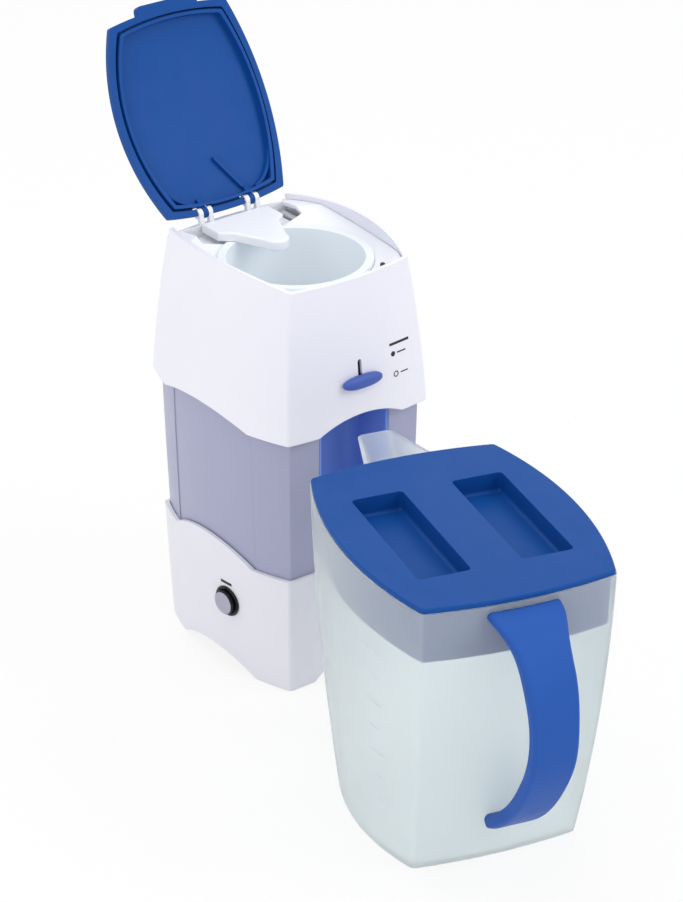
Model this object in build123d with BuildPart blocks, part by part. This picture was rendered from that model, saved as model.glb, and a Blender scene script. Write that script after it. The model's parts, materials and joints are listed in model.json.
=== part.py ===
"""Countertop iced tea brewer: a tower with a lift-out basket, and the pitcher that docks to it.

Millimetres, +Z up. The origin lies on the tabletop, under the middle of the tower.
The tower's front, with its dock for the pitcher's spout, faces -Y.
"""

import os
from math import atan2, cos, hypot, radians, sin

from build123d import *

# ---------------------------------------------------------------------------------------
# Driving dimensions
# ---------------------------------------------------------------------------------------

# General moulding sizes
wall = 2.2                      # casing wall
gap = 0.3                       # clearance between neighbouring pieces
corner_r = 3.0                  # vertical corner edges of the casings

# Tower casing
tower_half_width = 50.4         # at the top edge of the base, over the corners
tower_half_depth = 68.0
base_z = 1.0                    # lowest edge of the casing's four corners
base_edge_z = 82.5              # top edge of the base, at its corners
housing_edge_z = 180.5          # lower edge of the upper housing, at its corners
rim_z = 276.5                   # rim of the tower, at its corners
rim_arch = 5.0                  # rise of the rim over the middle of the sides
# half width, half depth, bow of the sides and bow of the rear, at each station
lower_stations = (
    (base_z, tower_half_width - 2.6, tower_half_depth - 3.4, 13.0, 3.5),
    (base_edge_z, tower_half_width, tower_half_depth, 14.5, 4.0),
    (housing_edge_z + 9.5, tower_half_width + 2.0, tower_half_depth + 2.6, 15.0, 4.0),
)
upper_stations = (
    (housing_edge_z - 10.5, tower_half_width + 3.8, tower_half_depth + 5.0, 16.0, 4.0),
    (rim_z - 44.5, tower_half_width - 0.2, tower_half_depth, 14.5, 4.0),
    (rim_z + 19.5, tower_half_width - 8.2, tower_half_depth - 7.6, 12.0, 4.0),
)
cove_depth = 6.0                # hollow in the tower's front, where the pitcher stands close

# Wavy edges: straight at the corners, arched between
arch_share = 0.60               # part of a side that is arched
base_foot_rise = 11.5
base_edge_rise = 12.0
housing_edge_rise = 8.0

# Dock: the recess for the pitcher's spout, and its liner
dock_half_width = 25.0
dock_depth = 36.0
dock_back_y = dock_depth - tower_half_depth
dock_floor_z = base_edge_z + 14.5
dock_roof_z = housing_edge_z + 9.0
cove_column = tower_half_width - dock_half_width + 0.1      # flat column left at each side of the cove
dock_corner_r = 9.0
liner_wall = 1.8

# Reservoir
tank_wall = 2.0
shelf_z = base_edge_z - 16.0    # shelf in the base that the tank stands on
shelf_thickness = 3.0
ledge_width = 1.6               # ledge under the shelf, inside the base's wall
ledge_height = 2.5
tank_floor_z = shelf_z + shelf_thickness + 0.5
tank_joint_z = dock_roof_z - 0.5        # the tank follows the base below this, the housing above
tank_panel_half = tower_half_depth - 27.0       # a shallow panel in each side, between two creases
tank_panel_depth = 0.5

# Brew deck, well and basket
well_centre_y = -9.0
well_r = 45.6
deck_wall = 2.2
seat_r = well_r + 3.0           # ledge that carries the basket's rim
seat_z = rim_z - 9.0
well_depth = 60.5
well_floor_z = seat_z - well_depth
tank_top_z = well_floor_z + 33.0
dish_rise = 9.0                 # the deck rises from the seat to the rim
dish_run = 17.0
land_drop = 3.5                 # the deck's corners lie this far below the rim
tray_z = seat_z - 1.0           # sunk filling tray behind the basket
tray_half_width = tower_half_width - 11.9
tray_front_y = well_centre_y + well_r - 0.6
fill_slot_width = 3.6
basket_wall = 1.6
basket_rim_r = seat_r - 0.4
basket_rim_thickness = 2.2
basket_top_r = well_r - 1.0
basket_foot_r = well_r - 5.1
basket_depth = well_depth - 8.5
basket_drain_r = 6.0
outlet_y = well_centre_y - well_r + 7.6
outlet_bore_r = 4.5
outlet_tip_z = dock_roof_z - 3.0

# Water arm over the basket
riser_half_width = 17.0
riser_x = 9.0                   # the riser tube, and the inlet hose on the other side
riser_y = tower_half_depth - 18.0
riser_front_y = riser_y - 7.0
riser_back_y = riser_y + 6.0
riser_top_z = seat_z + 2.5
riser_r = 3.4
riser_bore_r = 2.2
arm_tip_y = well_centre_y + 12.0
arm_root_half_width = 25.0      # it widens to cover the tray behind the basket
arm_root_y = riser_front_y - 5.0
arm_half_width_back = 17.0
arm_neck_y = riser_front_y - 12.0
arm_half_width_tip = 8.0
arm_back_y = riser_back_y - 0.5
arm_height = 5.8
arm_wall = 1.3

# Lid, stored open
lid_open_angle = 119.0
hinge_y = tower_half_depth - 4.5
hinge_z = rim_z + 2.5
hinge_x = 18.0                  # middle of each knuckle
hinge_pin_r = 1.5
hinge_running_gap = 0.05
knuckle_r = hinge_pin_r + 2.1
knuckle_width = 3.4
ear_width = 3.2
lid_rim = -0.8                  # the lid's edge lies this far inside the casing's face
lid_height = 6.0
lid_wall = 2.4
lid_flange = 4.0
lid_ring_drop = 0.8
lid_ring_inset = 5.4
lid_ring_wall = 2.0
lid_ring_rear_r = 27.0          # the ring cuts the corners at the hinge in wide arcs
stay_rib = (3.2, hinge_y - 31.8, hinge_x - 1.5, hinge_y - 8.5)      # rib from one point to the other
stay_rib_width = 2.4
stay_rib_height = 2.4
notch_front = 2.4               # the notch starts this far ahead of the rear corners
rear_notch_depth = 6.0          # the rear wall is this much lower, so the open lid leans over it
lid_tab_half_width = 22.5
lid_tab_reach = 4.5             # past the lid's bowed front edge

# Strength selector on the front
knob_z = housing_edge_z + 30.0
knob_travel = 9.0
knob_half_width = 14.7
knob_half_height = 7.5
knob_thickness = 4.0
slot_width = 3.0

# Start button, in the left side of the base
button_y = -18.0
button_z = 51.5
button_r = 8.2
bezel_r = button_r + 2.2
button_travel = 2.0
button_proud = 4.4              # face of the button, out from the base's side

# Pitcher: placed in front of the tower, turned about its own axis
pitcher_x = -41.6
pitcher_y = -220.0
pitcher_turn = -15.6
pitcher_wall = 2.0
pitcher_height = 186.0
pitcher_half_width = 59.6
pitcher_half_depth = 83.2
pitcher_stations = (
    (0.0, pitcher_half_width - 7.6, pitcher_half_depth - 25.6, 12.0, 4.0),
    (60.0, pitcher_half_width - 4.0, pitcher_half_depth - 13.2, 13.5, 5.0),
    (pitcher_height, pitcher_half_width, pitcher_half_depth, 14.0, 6.0),
)
pitcher_corner_r = 4.0
spout_root_half_width = 31.0
spout_nose_half_width = 11.0
spout_foot_share = 0.55         # its width at the foot, as a share of the width at the rim
spout_corner_r = 5.0
spout_reach = 39.0
spout_depth = 36.0

# Pitcher lid
pitcher_lid_thickness = 2.8
pitcher_lid_rim = -0.5          # the lid's edge lies just inside the pitcher's face
pitcher_skirt_depth = 33.0
pitcher_skirt_wall = 1.8
pocket_inner_x = 15.5
pocket_outer_x = pitcher_half_width - 11.6
pocket_front_y = 31.2 - pitcher_half_depth
pocket_back_y = pitcher_half_depth - 35.2
pocket_depth = 12.5
pocket_wall = 1.8
pocket_floor_r = 2.4

# Pitcher handle: a broad strap. Its centre line runs from below the rim out and down to the foot
handle_top_z = pitcher_height - 8.0
handle_foot_z = 30.0
handle_profile = (
    (2.8, 1.0),
    (20.8, 0.963),
    (38.8, 0.841),
    (47.8, 0.662),
    (46.8, 0.517),
    (36.8, 0.358),
    (18.8, 0.182),
    (-0.2, 0.061),
    (-13.7, 0.0),
)
handle_path = [
    (pitcher_half_depth + out, handle_foot_z + share * (handle_top_z - handle_foot_z))
    for out, share in handle_profile
]
handle_widths = (44.0, 37.0, 31.0, 28.5, 28.0, 27.5, 27.0, 26.0, 24.0)
handle_thickness = 9.0
handle_edge_r = 2.8

# Base internals
plate_z = 14.0
plate_thickness = 2.2
foot_x = tower_half_width - 14.4
foot_y = tower_half_depth - 16.0
foot_r = 6.0
foot_height = 3.0
post_r = 4.0
screw_r = 1.5
post_x = tower_half_width - 16.4
post_y = tower_half_depth - 28.0
heater_z = 32.0
heater_front_y = -30.0
heater_back_y = 30.0
heater_tube_r = 6.0
heater_bore_r = 2.3
hose_r = 5.0
hose_bend_r = 13.0
spigot_r = 3.4
spigot_drop = 9.0
heater_spigot = 6.0
gland_x = 24.0
gland_z = 28.0
gland_r = 6.0
gland_stand = 1.0               # the flange clears the bowed wall by this at its middle


# Small features
stem_width = 2.4                # knob stem, as it passes the slot
stem_height = 8.0
knob_face_gap = 0.6
slider_plate = 2.0
gate_z = dock_roof_z + 0.8
gate_y = outlet_y - 9.2
gate_thickness = 1.6
gate_height = 4.5
flat_gap = 0.1                  # the outlet's flat lies this far ahead of its tube
window_z = gate_z + 10.7                # side window in the outlet, which the raised gate covers
bezel_sleeve_r = button_r + 1.4
bezel_depth = 10.0
switch_depth = 14.0
screw_length = 12.0
screw_head = 1.8
foot_stem_r = 2.5
foot_stem_length = 6.0
outlet_r = 6.4
deck_skirt_z = seat_z - 11.5
well_joint_z = tray_z - deck_wall       # the well's cup is sealed to the deck's collar here
well_room = 1.5                 # space round the well where it hangs in the tank
tray_back_y = hinge_y - 6.5
fill_slot_length = 24.0
fill_slot_y = tray_back_y - fill_slot_length / 2 - 0.5
ear_r = hinge_pin_r + 1.9
ear_foot_y = hinge_y - 1.2
basket_top_z = seat_z + gap + basket_rim_thickness
nozzle_length = 1.6
element_r = 2.6
bracket_y = 5.0
strap_wall = 1.2
plate_top = plate_z + plate_thickness
fuse_rise = 9.6
hose_top_z = tank_floor_z - 1.0
bumper_x = 30.0
bumper_y = 11.0 - tower_half_depth
bumper_r = 1.6
bumper_low_z = seat_z + 1.5
bumper_high_z = seat_z + 6.8
pitcher_floor = 3.0
spout_root = pitcher_half_depth - 23.2
skirt_gap = 0.6
pocket_r = 3.0

BIG = 1200.0                    # reach of a cutter past the model

pitcher_plane = Plane(
    origin=(pitcher_x, pitcher_y, 0),
    x_dir=(cos(radians(pitcher_turn)), sin(radians(pitcher_turn)), 0),
    z_dir=(0, 0, 1),
)
pitcher_front = Plane(origin=pitcher_plane.origin, x_dir=pitcher_plane.x_dir, z_dir=-pitcher_plane.y_dir)
pitcher_side = Plane(origin=pitcher_plane.origin, x_dir=pitcher_plane.y_dir, z_dir=pitcher_plane.x_dir)


# ---------------------------------------------------------------------------------------
# Shapes that several pieces share
# ---------------------------------------------------------------------------------------

def size_at(stations, z):
    """Half width, half depth and the two bows of a form at height z, between its stations."""
    pairs = list(zip(stations, stations[1:]))
    low, high = next((pair for pair in pairs if z <= pair[1][0]), pairs[-1])
    share = (z - low[0]) / (high[0] - low[0])
    return tuple(a + (b - a) * share for a, b in zip(low[1:], high[1:]))


rim_half_width, rim_half_depth, _, _ = size_at(upper_stations, rim_z)


def barrel(plane, half_width, half_depth, side_bow, end_bow, radius):
    """Plan outline with four bowed sides and small corner radii."""
    with BuildSketch(plane) as outline:
        with BuildLine():
            ThreePointArc((-half_width, -half_depth), (0, -half_depth - end_bow), (half_width, -half_depth))
            ThreePointArc((half_width, -half_depth), (half_width + side_bow, 0), (half_width, half_depth))
            ThreePointArc((half_width, half_depth), (0, half_depth + end_bow), (-half_width, half_depth))
            ThreePointArc((-half_width, half_depth), (-half_width - side_bow, 0), (-half_width, -half_depth))
        make_face()
        fillet(outline.vertices(), radius=radius)
    return outline.sketch


def coved_barrel(plane, half_width, half_depth, side_bow, end_bow, radius, column, cove):
    """The barrel outline with a shallow cove between two flat columns in its front."""
    inner = half_width - column
    with BuildSketch(plane) as outline:
        with BuildLine():
            Line((-half_width, -half_depth), (-inner, -half_depth))
            ThreePointArc((-inner, -half_depth), (0, -half_depth + cove), (inner, -half_depth))
            Line((inner, -half_depth), (half_width, -half_depth))
            ThreePointArc((half_width, -half_depth), (half_width + side_bow, 0), (half_width, half_depth))
            ThreePointArc((half_width, half_depth), (0, half_depth + end_bow), (-half_width, half_depth))
            ThreePointArc((-half_width, half_depth), (-half_width - side_bow, 0), (-half_width, -half_depth))
        make_face()
        corners = [v for v in outline.vertices() if abs(v.X) > inner + 1]
        fillet(corners, radius=radius)
    return outline.sketch


def upper_form(inset):
    """Full height of the upper casing's form, set in from its outer face."""
    with BuildPart() as form:
        loft([
            barrel(Plane.XY.offset(z), w - inset, d - inset, side, end, max(corner_r - inset, 0.8))
            for z, w, d, side, end in upper_stations
        ])
    return form.part


def lower_form(inset):
    """Full height of the base and tank's form, set in from its outer face."""
    with BuildPart() as form:
        loft([
            coved_barrel(Plane.XY.offset(z), w - inset, d - inset, side, end,
                         max(corner_r - inset, 0.8), cove_column - inset, cove_depth)
            for z, w, d, side, end in lower_stations
        ])
    return form.part


def arch_sketch(plane, half_span, edge_z, rise, sill):
    """Upright region under an arched edge, down to a sill."""
    with BuildSketch(plane) as region:
        with BuildLine():
            ThreePointArc((-half_span, edge_z), (0, edge_z + rise), (half_span, edge_z))
            Polyline((half_span, edge_z), (half_span, sill), (-half_span, sill), (-half_span, edge_z))
        make_face()
    return region.sketch


def arches(stations, edge_z, rise, sill):
    """The four arched openings over one wavy edge, as a cross of two prisms."""
    half_width, half_depth, _, _ = size_at(stations, edge_z)
    with BuildPart() as cross:
        extrude(arch_sketch(Plane.YZ, arch_share * half_depth, edge_z, rise, sill), amount=BIG / 2, both=True)
        extrude(arch_sketch(Plane.XZ, arch_share * half_width, edge_z, rise, sill), amount=BIG / 2, both=True)
    return cross.part


def slab(low, high):
    """A wide block between two heights."""
    with BuildPart() as block:
        with BuildSketch(Plane.XY.offset(low)):
            Rectangle(BIG, BIG)
        extrude(amount=high - low)
    return block.part


def under_rim(lift):
    """Everything below the arched rim, raised by lift."""
    chord = rim_arch_radius()
    with BuildPart() as below:
        with BuildSketch(Plane.YZ) as side:
            with Locations((0, rim_z + rim_arch + lift - chord)):
                Circle(chord)
            Rectangle(4 * rim_half_depth, 4 * rim_z, mode=Mode.INTERSECT)
        extrude(amount=BIG / 2, both=True)
    return below.part


def band(form, low, high):
    """The part of a form between two heights."""
    with BuildPart() as cut:
        add(form)
        add(slab(-BIG, low), mode=Mode.SUBTRACT)
        add(slab(high, BIG), mode=Mode.SUBTRACT)
    return cut.part


def above_edge(stations, edge_z, rise):
    """Everything above a wavy edge."""
    with BuildPart() as above:
        add(slab(edge_z, BIG))
        add(arches(stations, edge_z, rise, edge_z - 5), mode=Mode.SUBTRACT)
    return above.part


def rim_arch_radius():
    """Radius of the rim's arch, from its rise over the tower's depth."""
    return (rim_half_depth ** 2 + rim_arch ** 2) / (2 * rim_arch)


# Shared forms, made once
tower_upper = upper_form(0)
tower_lower = lower_form(0)
inside_upper = upper_form(wall)
inside_lower = lower_form(wall)
fit_upper = upper_form(wall + gap)
fit_lower = lower_form(wall + gap)


def dock_block(grow, front=BIG / 2):
    """Plan of the dock recess grown by an amount, as a tall prism."""
    half = dock_half_width + grow
    back = dock_back_y + grow
    with BuildPart() as block:
        with BuildSketch(Plane.XY.offset(dock_floor_z - grow)) as plan:
            with Locations((0, (back - front) / 2)):
                Rectangle(2 * half, back + front)
            rear = plan.vertices().group_by(Axis.Y)[-1]
            fillet(rear, radius=dock_corner_r + grow)
        extrude(amount=BIG)
    return block.part


# ---------------------------------------------------------------------------------------
# Tower casings
# ---------------------------------------------------------------------------------------

def surface_x(stations, y, z):
    """Distance of the bowed side face from the middle plane."""
    half_width, half_depth, side_bow, _ = size_at(stations, z)
    return half_width + side_bow * (1 - (y / half_depth) ** 2)


def front_face_y(z):
    """Where the casing's front face crosses the middle plane at height z."""
    crossings = tower_upper.find_intersection_points(Axis((0, 0, z), (0, -1, 0)))
    return min(point.Y for point, _ in crossings)


# The front of the upper housing leans back; the knob slides along it
knob_face_y = front_face_y(knob_z)
front_lean = atan2(front_face_y(knob_z + knob_travel) - knob_face_y, knob_travel)
knob_plane = Plane(
    origin=(0, knob_face_y, knob_z),
    x_dir=(1, 0, 0),
    z_dir=(0, -cos(front_lean), sin(front_lean)),
)

# The start button follows the bow of the base's left side
button_x = -surface_x(lower_stations, button_y, button_z)
_, button_depth, button_bow, _ = size_at(lower_stations, button_z)
button_turn = atan2(2 * button_bow * -button_y, button_depth ** 2)
low_z, low_half_width, _, _, _ = lower_stations[0]
edge_z, edge_half_width, _, _, _ = lower_stations[1]
side_lean = atan2(edge_half_width - low_half_width, edge_z - low_z)
button_plane = Plane(
    origin=(button_x, button_y, button_z),
    x_dir=(sin(button_turn), -cos(button_turn), 0),
    z_dir=(-cos(button_turn) * cos(side_lean), -sin(button_turn) * cos(side_lean), -sin(side_lean)),
)

well_axis = Axis((0, well_centre_y, 0), (0, 0, 1))
well_side = Plane(origin=(0, well_centre_y, 0), x_dir=(1, 0, 0), z_dir=(0, -1, 0))


def tank_block(inset, low, joint, high):
    """The tank's outer form set in by inset: the base's form below the joint, the housing's above."""
    with BuildPart() as block:
        add(band(lower_form(inset), low, joint))
        add(band(upper_form(inset), joint, high))
    return block.part


def water_space():
    """Inside of the tank, round the dock."""
    inset = wall + gap + tank_wall
    with BuildPart() as space:
        add(tank_block(inset, tank_floor_z + tank_wall, tank_joint_z - tank_wall, tank_top_z + 1))
        add(dock_block(liner_wall + gap + tank_wall), mode=Mode.SUBTRACT)
    return space.part


def side_panels():
    """Shallow layer off the tank's two sides, between the creases."""
    with BuildPart() as panels:
        add(band(lower_form(wall + gap - 1), shelf_z + shelf_thickness + 1, tank_joint_z))
        add(lower_form(wall + gap + tank_panel_depth), mode=Mode.SUBTRACT)
        with BuildSketch(Plane.XY):
            Rectangle(BIG, 2 * tank_panel_half)
        extrude(amount=BIG / 4, mode=Mode.INTERSECT)
        with BuildSketch(Plane.XY):
            Rectangle(dock_half_width * 2, BIG)
        extrude(amount=BIG / 4, mode=Mode.SUBTRACT)
    return panels.part


def deck_hollow():
    """Space under the deck's dish, one wall below its top."""
    with BuildPart() as hollow:
        with BuildSketch(well_side):
            with BuildLine():
                Polyline(
                    (0, deck_skirt_z - 1),
                    (0, seat_z - deck_wall),
                    (seat_r, seat_z - deck_wall),
                    (seat_r + 4 * dish_run, seat_z + 4 * dish_rise - deck_wall),
                    (seat_r + 4 * dish_run, deck_skirt_z - 1),
                    close=True,
                )
            make_face()
        revolve(axis=well_axis)
        add(upper_form(wall + gap + deck_wall), mode=Mode.INTERSECT)
        add(under_rim(-land_drop - deck_wall), mode=Mode.INTERSECT)
    return hollow.part


with BuildPart() as upper_housing:
    add(tower_upper)
    add(inside_upper, mode=Mode.SUBTRACT)
    add(slab(upper_stations[0][0] - 1, housing_edge_z), mode=Mode.SUBTRACT)
    add(arches(upper_stations, housing_edge_z, housing_edge_rise, housing_edge_z - 5), mode=Mode.SUBTRACT)
    add(under_rim(0), mode=Mode.INTERSECT)
    # the rear wall is lower between its corners, so the open lid leans back over it
    with BuildSketch(Plane.XY.offset(rim_z - rear_notch_depth)):
        with Locations((0, rim_half_depth + 6 - notch_front)):
            Rectangle(3 * rim_half_width, 12)
    extrude(amount=4 * rear_notch_depth, mode=Mode.SUBTRACT)
    # slot for the strength knob's stem
    with BuildSketch(knob_plane.offset(-8)):
        with Locations((0, knob_travel / 2)):
            SlotOverall(knob_travel + stem_height + 1, slot_width, rotation=90)
    extrude(amount=16, mode=Mode.SUBTRACT)
upper_housing.part.label = "upper_housing"

def shelf_ledge():
    """Ledge round the inside of the base, under the tank's shelf."""
    with BuildPart() as ledge:
        add(band(inside_lower, shelf_z - ledge_height, shelf_z))
        add(lower_form(wall + ledge_width), mode=Mode.SUBTRACT)
    return ledge.part


with BuildPart() as base_shell:
    add(tower_lower)
    add(inside_lower, mode=Mode.SUBTRACT)
    add(above_edge(lower_stations, base_edge_z, base_edge_rise), mode=Mode.SUBTRACT)
    add(arches(lower_stations, base_z, base_foot_rise, base_z - 5), mode=Mode.SUBTRACT)
    # ledge that the tank's shelf rests on
    add(shelf_ledge())
    # opening for the start button's bezel
    with BuildSketch(button_plane.offset(-8)):
        Circle(bezel_sleeve_r + gap)
    extrude(amount=16, mode=Mode.SUBTRACT)
    # opening for the cord gland
    with BuildSketch(Plane.XZ):
        with Locations((gland_x, gland_z)):
            Circle(gland_r)
    extrude(amount=-BIG / 2, mode=Mode.SUBTRACT)
base_shell.part.label = "base_shell"

with BuildPart() as tank_shelf:
    add(band(lower_form(wall + gap), shelf_z, shelf_z + shelf_thickness))
    # a hole for each hose
    with BuildSketch(Plane.XY.offset(shelf_z)):
        with Locations((riser_x, riser_y), (-riser_x, riser_y)):
            Circle(hose_r + 1)
    extrude(amount=shelf_thickness, mode=Mode.SUBTRACT)
    # posts down to the bottom plate, which is screwed to them
    with BuildSketch(Plane.XY.offset(plate_top)):
        with GridLocations(2 * post_x, 2 * post_y, 2, 2):
            Circle(post_r)
    extrude(amount=shelf_z - plate_top)
    with BuildSketch(Plane.XY.offset(plate_top)):
        with GridLocations(2 * post_x, 2 * post_y, 2, 2):
            Circle(screw_r)
    extrude(amount=screw_length, mode=Mode.SUBTRACT)
tank_shelf.part.label = "tank_shelf"

with BuildPart() as bottom_plate:
    add(band(fit_lower, plate_z, plate_z + plate_thickness))
    # foot posts, cooling slots and screw holes
    with BuildSketch(Plane.XY.offset(foot_height)):
        with GridLocations(2 * foot_x, 2 * foot_y, 2, 2):
            Circle(foot_r)
    extrude(until=Until.NEXT)
    with BuildSketch(Plane.XY.offset(foot_height)):
        with GridLocations(2 * foot_x, 2 * foot_y, 2, 2):
            Circle(foot_stem_r)
    extrude(amount=foot_stem_length + 1, mode=Mode.SUBTRACT)
    with BuildSketch(Plane.XY.offset(plate_z)):
        with GridLocations(8, 0, 7, 1):
            SlotOverall(34, 3, rotation=90)
        with GridLocations(2 * post_x, 2 * post_y, 2, 2):
            Circle(screw_r + 0.2)
    extrude(amount=plate_thickness, mode=Mode.SUBTRACT)
bottom_plate.part.label = "bottom_plate"

with BuildPart() as rubber_feet:
    with BuildSketch():
        with GridLocations(2 * foot_x, 2 * foot_y, 2, 2):
            Circle(foot_r)
    extrude(amount=foot_height)
    chamfer(rubber_feet.edges().group_by(Axis.Z)[0], length=0.6)
    with BuildSketch(Plane.XY.offset(foot_height)):
        with GridLocations(2 * foot_x, 2 * foot_y, 2, 2):
            Circle(foot_stem_r - 0.1)
    extrude(amount=foot_stem_length)
rubber_feet.part.label = "rubber_feet"

with BuildPart() as plate_screws:
    with BuildSketch(Plane.XY.offset(plate_z - screw_head)):
        with GridLocations(2 * post_x, 2 * post_y, 2, 2):
            Circle(2 * screw_r)
    extrude(amount=screw_head)
    with BuildSketch(Plane.XY.offset(plate_z)):
        with GridLocations(2 * post_x, 2 * post_y, 2, 2):
            Circle(screw_r - 0.05)
    extrude(amount=screw_length)
plate_screws.part.label = "plate_screws"

with BuildPart() as reservoir_tank:
    add(tank_block(wall + gap, tank_floor_z, tank_joint_z, tank_top_z))
    add(dock_block(liner_wall + gap), mode=Mode.SUBTRACT)
    add(water_space(), mode=Mode.SUBTRACT)
    # the well hangs down into the open top
    with BuildSketch(Plane.XY.offset(well_floor_z - deck_wall - well_room)):
        with Locations((0, well_centre_y)):
            Circle(well_r + deck_wall + well_room)
    extrude(amount=BIG / 4, mode=Mode.SUBTRACT)
    # outlet spigot for the inlet hose, and a seat for the riser's grommet
    with BuildSketch(Plane.XY.offset(tank_floor_z - spigot_drop)):
        with Locations((-riser_x, riser_y)):
            Circle(spigot_r)
    extrude(amount=spigot_drop)
    with BuildSketch(Plane.XY.offset(tank_floor_z - spigot_drop)):
        with Locations((-riser_x, riser_y)):
            Circle(spigot_r - 1.2)
    extrude(amount=spigot_drop + tank_wall, mode=Mode.SUBTRACT)
    with BuildSketch(Plane.XY.offset(tank_floor_z)):
        with Locations((riser_x, riser_y)):
            Circle(riser_r + 1.2)
    extrude(amount=tank_wall, mode=Mode.SUBTRACT)
    add(side_panels(), mode=Mode.SUBTRACT)
reservoir_tank.part.label = "reservoir_tank"


def dock_roof():
    """Top plate of the dock's liner."""
    with BuildPart() as roof:
        add(dock_block(liner_wall))
        add(band(fit_upper, dock_roof_z - liner_wall, dock_roof_z), mode=Mode.INTERSECT)
    return roof.part


with BuildPart() as dock_panel:
    add(dock_block(liner_wall))
    add(dock_block(0), mode=Mode.SUBTRACT)
    add(fit_lower, mode=Mode.INTERSECT)
    add(slab(dock_roof_z - liner_wall, BIG), mode=Mode.SUBTRACT)
    add(dock_roof())
    with BuildSketch(Plane.XY.offset(dock_roof_z - liner_wall)):
        with Locations((0, outlet_y)):
            Circle(outlet_r + 0.6)
    extrude(amount=liner_wall, mode=Mode.SUBTRACT)
dock_panel.part.label = "dock_panel"

# ---------------------------------------------------------------------------------------
# Brewing parts in the upper housing
# ---------------------------------------------------------------------------------------

def rear_ledge():
    """Strip behind the filling tray that the hinge ears stand on."""
    with BuildPart() as ledge:
        add(band(fit_upper, tray_z - deck_wall, rim_z - rear_notch_depth - 0.5))
        with BuildSketch(Plane.XY.offset(tray_z - deck_wall)):
            with Locations((0, tray_back_y + 10)):
                Rectangle(3 * rim_half_width, 20)
        extrude(amount=BIG / 4, mode=Mode.INTERSECT)
    return ledge.part


with BuildPart() as brew_deck:
    add(fit_upper)
    add(slab(0, deck_skirt_z), mode=Mode.SUBTRACT)
    add(under_rim(-land_drop), mode=Mode.INTERSECT)
    # dished top, falling towards the basket's seat
    with BuildSketch(well_side) as dish:
        with BuildLine():
            Polyline(
                (0, seat_z),
                (seat_r, seat_z),
                (seat_r + 4 * dish_run, seat_z + 4 * dish_rise),
                (0, seat_z + 4 * dish_rise),
                close=True,
            )
        make_face()
    revolve(axis=well_axis, mode=Mode.SUBTRACT)
    # hollow underside, one wall below the dish
    add(deck_hollow(), mode=Mode.SUBTRACT)
    # sunk filling tray behind the basket
    with BuildSketch(Plane.XY.offset(tray_z - deck_wall)):
        with Locations((0, (tray_front_y + tray_back_y) / 2)):
            Rectangle(2 * (tray_half_width + deck_wall), tray_back_y - tray_front_y + 2 * deck_wall)
    extrude(amount=seat_z - tray_z + deck_wall)
    with BuildSketch(Plane.XY.offset(tray_z)):
        with Locations((0, (tray_front_y + tray_back_y) / 2)):
            Rectangle(2 * tray_half_width, tray_back_y - tray_front_y)
        with Locations((0, well_centre_y)):
            Circle(seat_r, mode=Mode.SUBTRACT)
    extrude(amount=BIG / 4, mode=Mode.SUBTRACT)
    add(rear_ledge())
    # collar that the brewing well is sealed to
    with BuildSketch(Plane.XY.offset(well_joint_z)):
        with Locations((0, well_centre_y)):
            Circle(well_r + deck_wall)
    extrude(amount=seat_z - well_joint_z)
    with BuildSketch(Plane.XY.offset(well_joint_z)):
        with Locations((0, well_centre_y)):
            Circle(well_r)
    extrude(amount=BIG / 4, mode=Mode.SUBTRACT)
    # two slots that let the poured water into the tank, and the riser's hole
    with BuildSketch(Plane.XY.offset(tray_z - deck_wall)):
        slot_x = tray_half_width - fill_slot_width / 2 - 0.6
        with Locations((slot_x, fill_slot_y), (-slot_x, fill_slot_y)):
            SlotOverall(fill_slot_length, fill_slot_width, rotation=90)
        with Locations((riser_x, riser_y)):
            Circle(riser_r + gap)
    extrude(amount=deck_wall, mode=Mode.SUBTRACT)
    # hole for the lid's bumper
    with BuildSketch(Plane.XY.offset(bumper_low_z - 6)):
        with Locations((bumper_x, bumper_y)):
            Circle(bumper_r)
    extrude(amount=BIG / 4, mode=Mode.SUBTRACT)
    # lower rear edge under the open lid
    with BuildSketch(Plane.XY.offset(rim_z - rear_notch_depth - 0.5)):
        with Locations((0, rim_half_depth + 3)):
            Rectangle(2 * (rim_half_width - 3), 14)
    extrude(amount=4 * rear_notch_depth, mode=Mode.SUBTRACT)
    # hinge ears, one on each side of each knuckle
    for side in (-1, 1):
        for end in (-1, 1):
            ear_x = side * hinge_x + end * (knuckle_width / 2 + gap + ear_width / 2)
            with BuildSketch(Plane.YZ.offset(ear_x)):
                with Locations((hinge_y, hinge_z)):
                    Circle(ear_r)
                with BuildLine():
                    Polyline(
                        (tray_back_y + 0.4, tray_z),
                        (ear_foot_y, tray_z),
                        (ear_foot_y, hinge_z - ear_r),
                        (hinge_y + ear_r * 0.9, hinge_z),
                        (hinge_y - ear_r * 0.9, hinge_z),
                        close=True,
                    )
                make_face()
                with Locations((hinge_y, hinge_z)):
                    Circle(hinge_pin_r + 0.02, mode=Mode.SUBTRACT)
            extrude(amount=ear_width / 2, both=True)
brew_deck.part.label = "brew_deck"

with BuildPart() as brew_well:
    with BuildSketch(Plane.XY.offset(well_floor_z - deck_wall)):
        with Locations((0, well_centre_y)):
            Circle(well_r + deck_wall)
    extrude(amount=well_joint_z - well_floor_z + deck_wall)
    with BuildSketch(Plane.XY.offset(well_floor_z)):
        with Locations((0, well_centre_y)):
            Circle(well_r)
    extrude(amount=BIG / 4, mode=Mode.SUBTRACT)
    with BuildSketch(Plane.XY.offset(well_floor_z - deck_wall - 1)):
        with Locations((0, outlet_y)):
            Circle(outlet_bore_r)
    extrude(amount=deck_wall + 2, mode=Mode.SUBTRACT)
brew_well.part.label = "brew_well"

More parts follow.
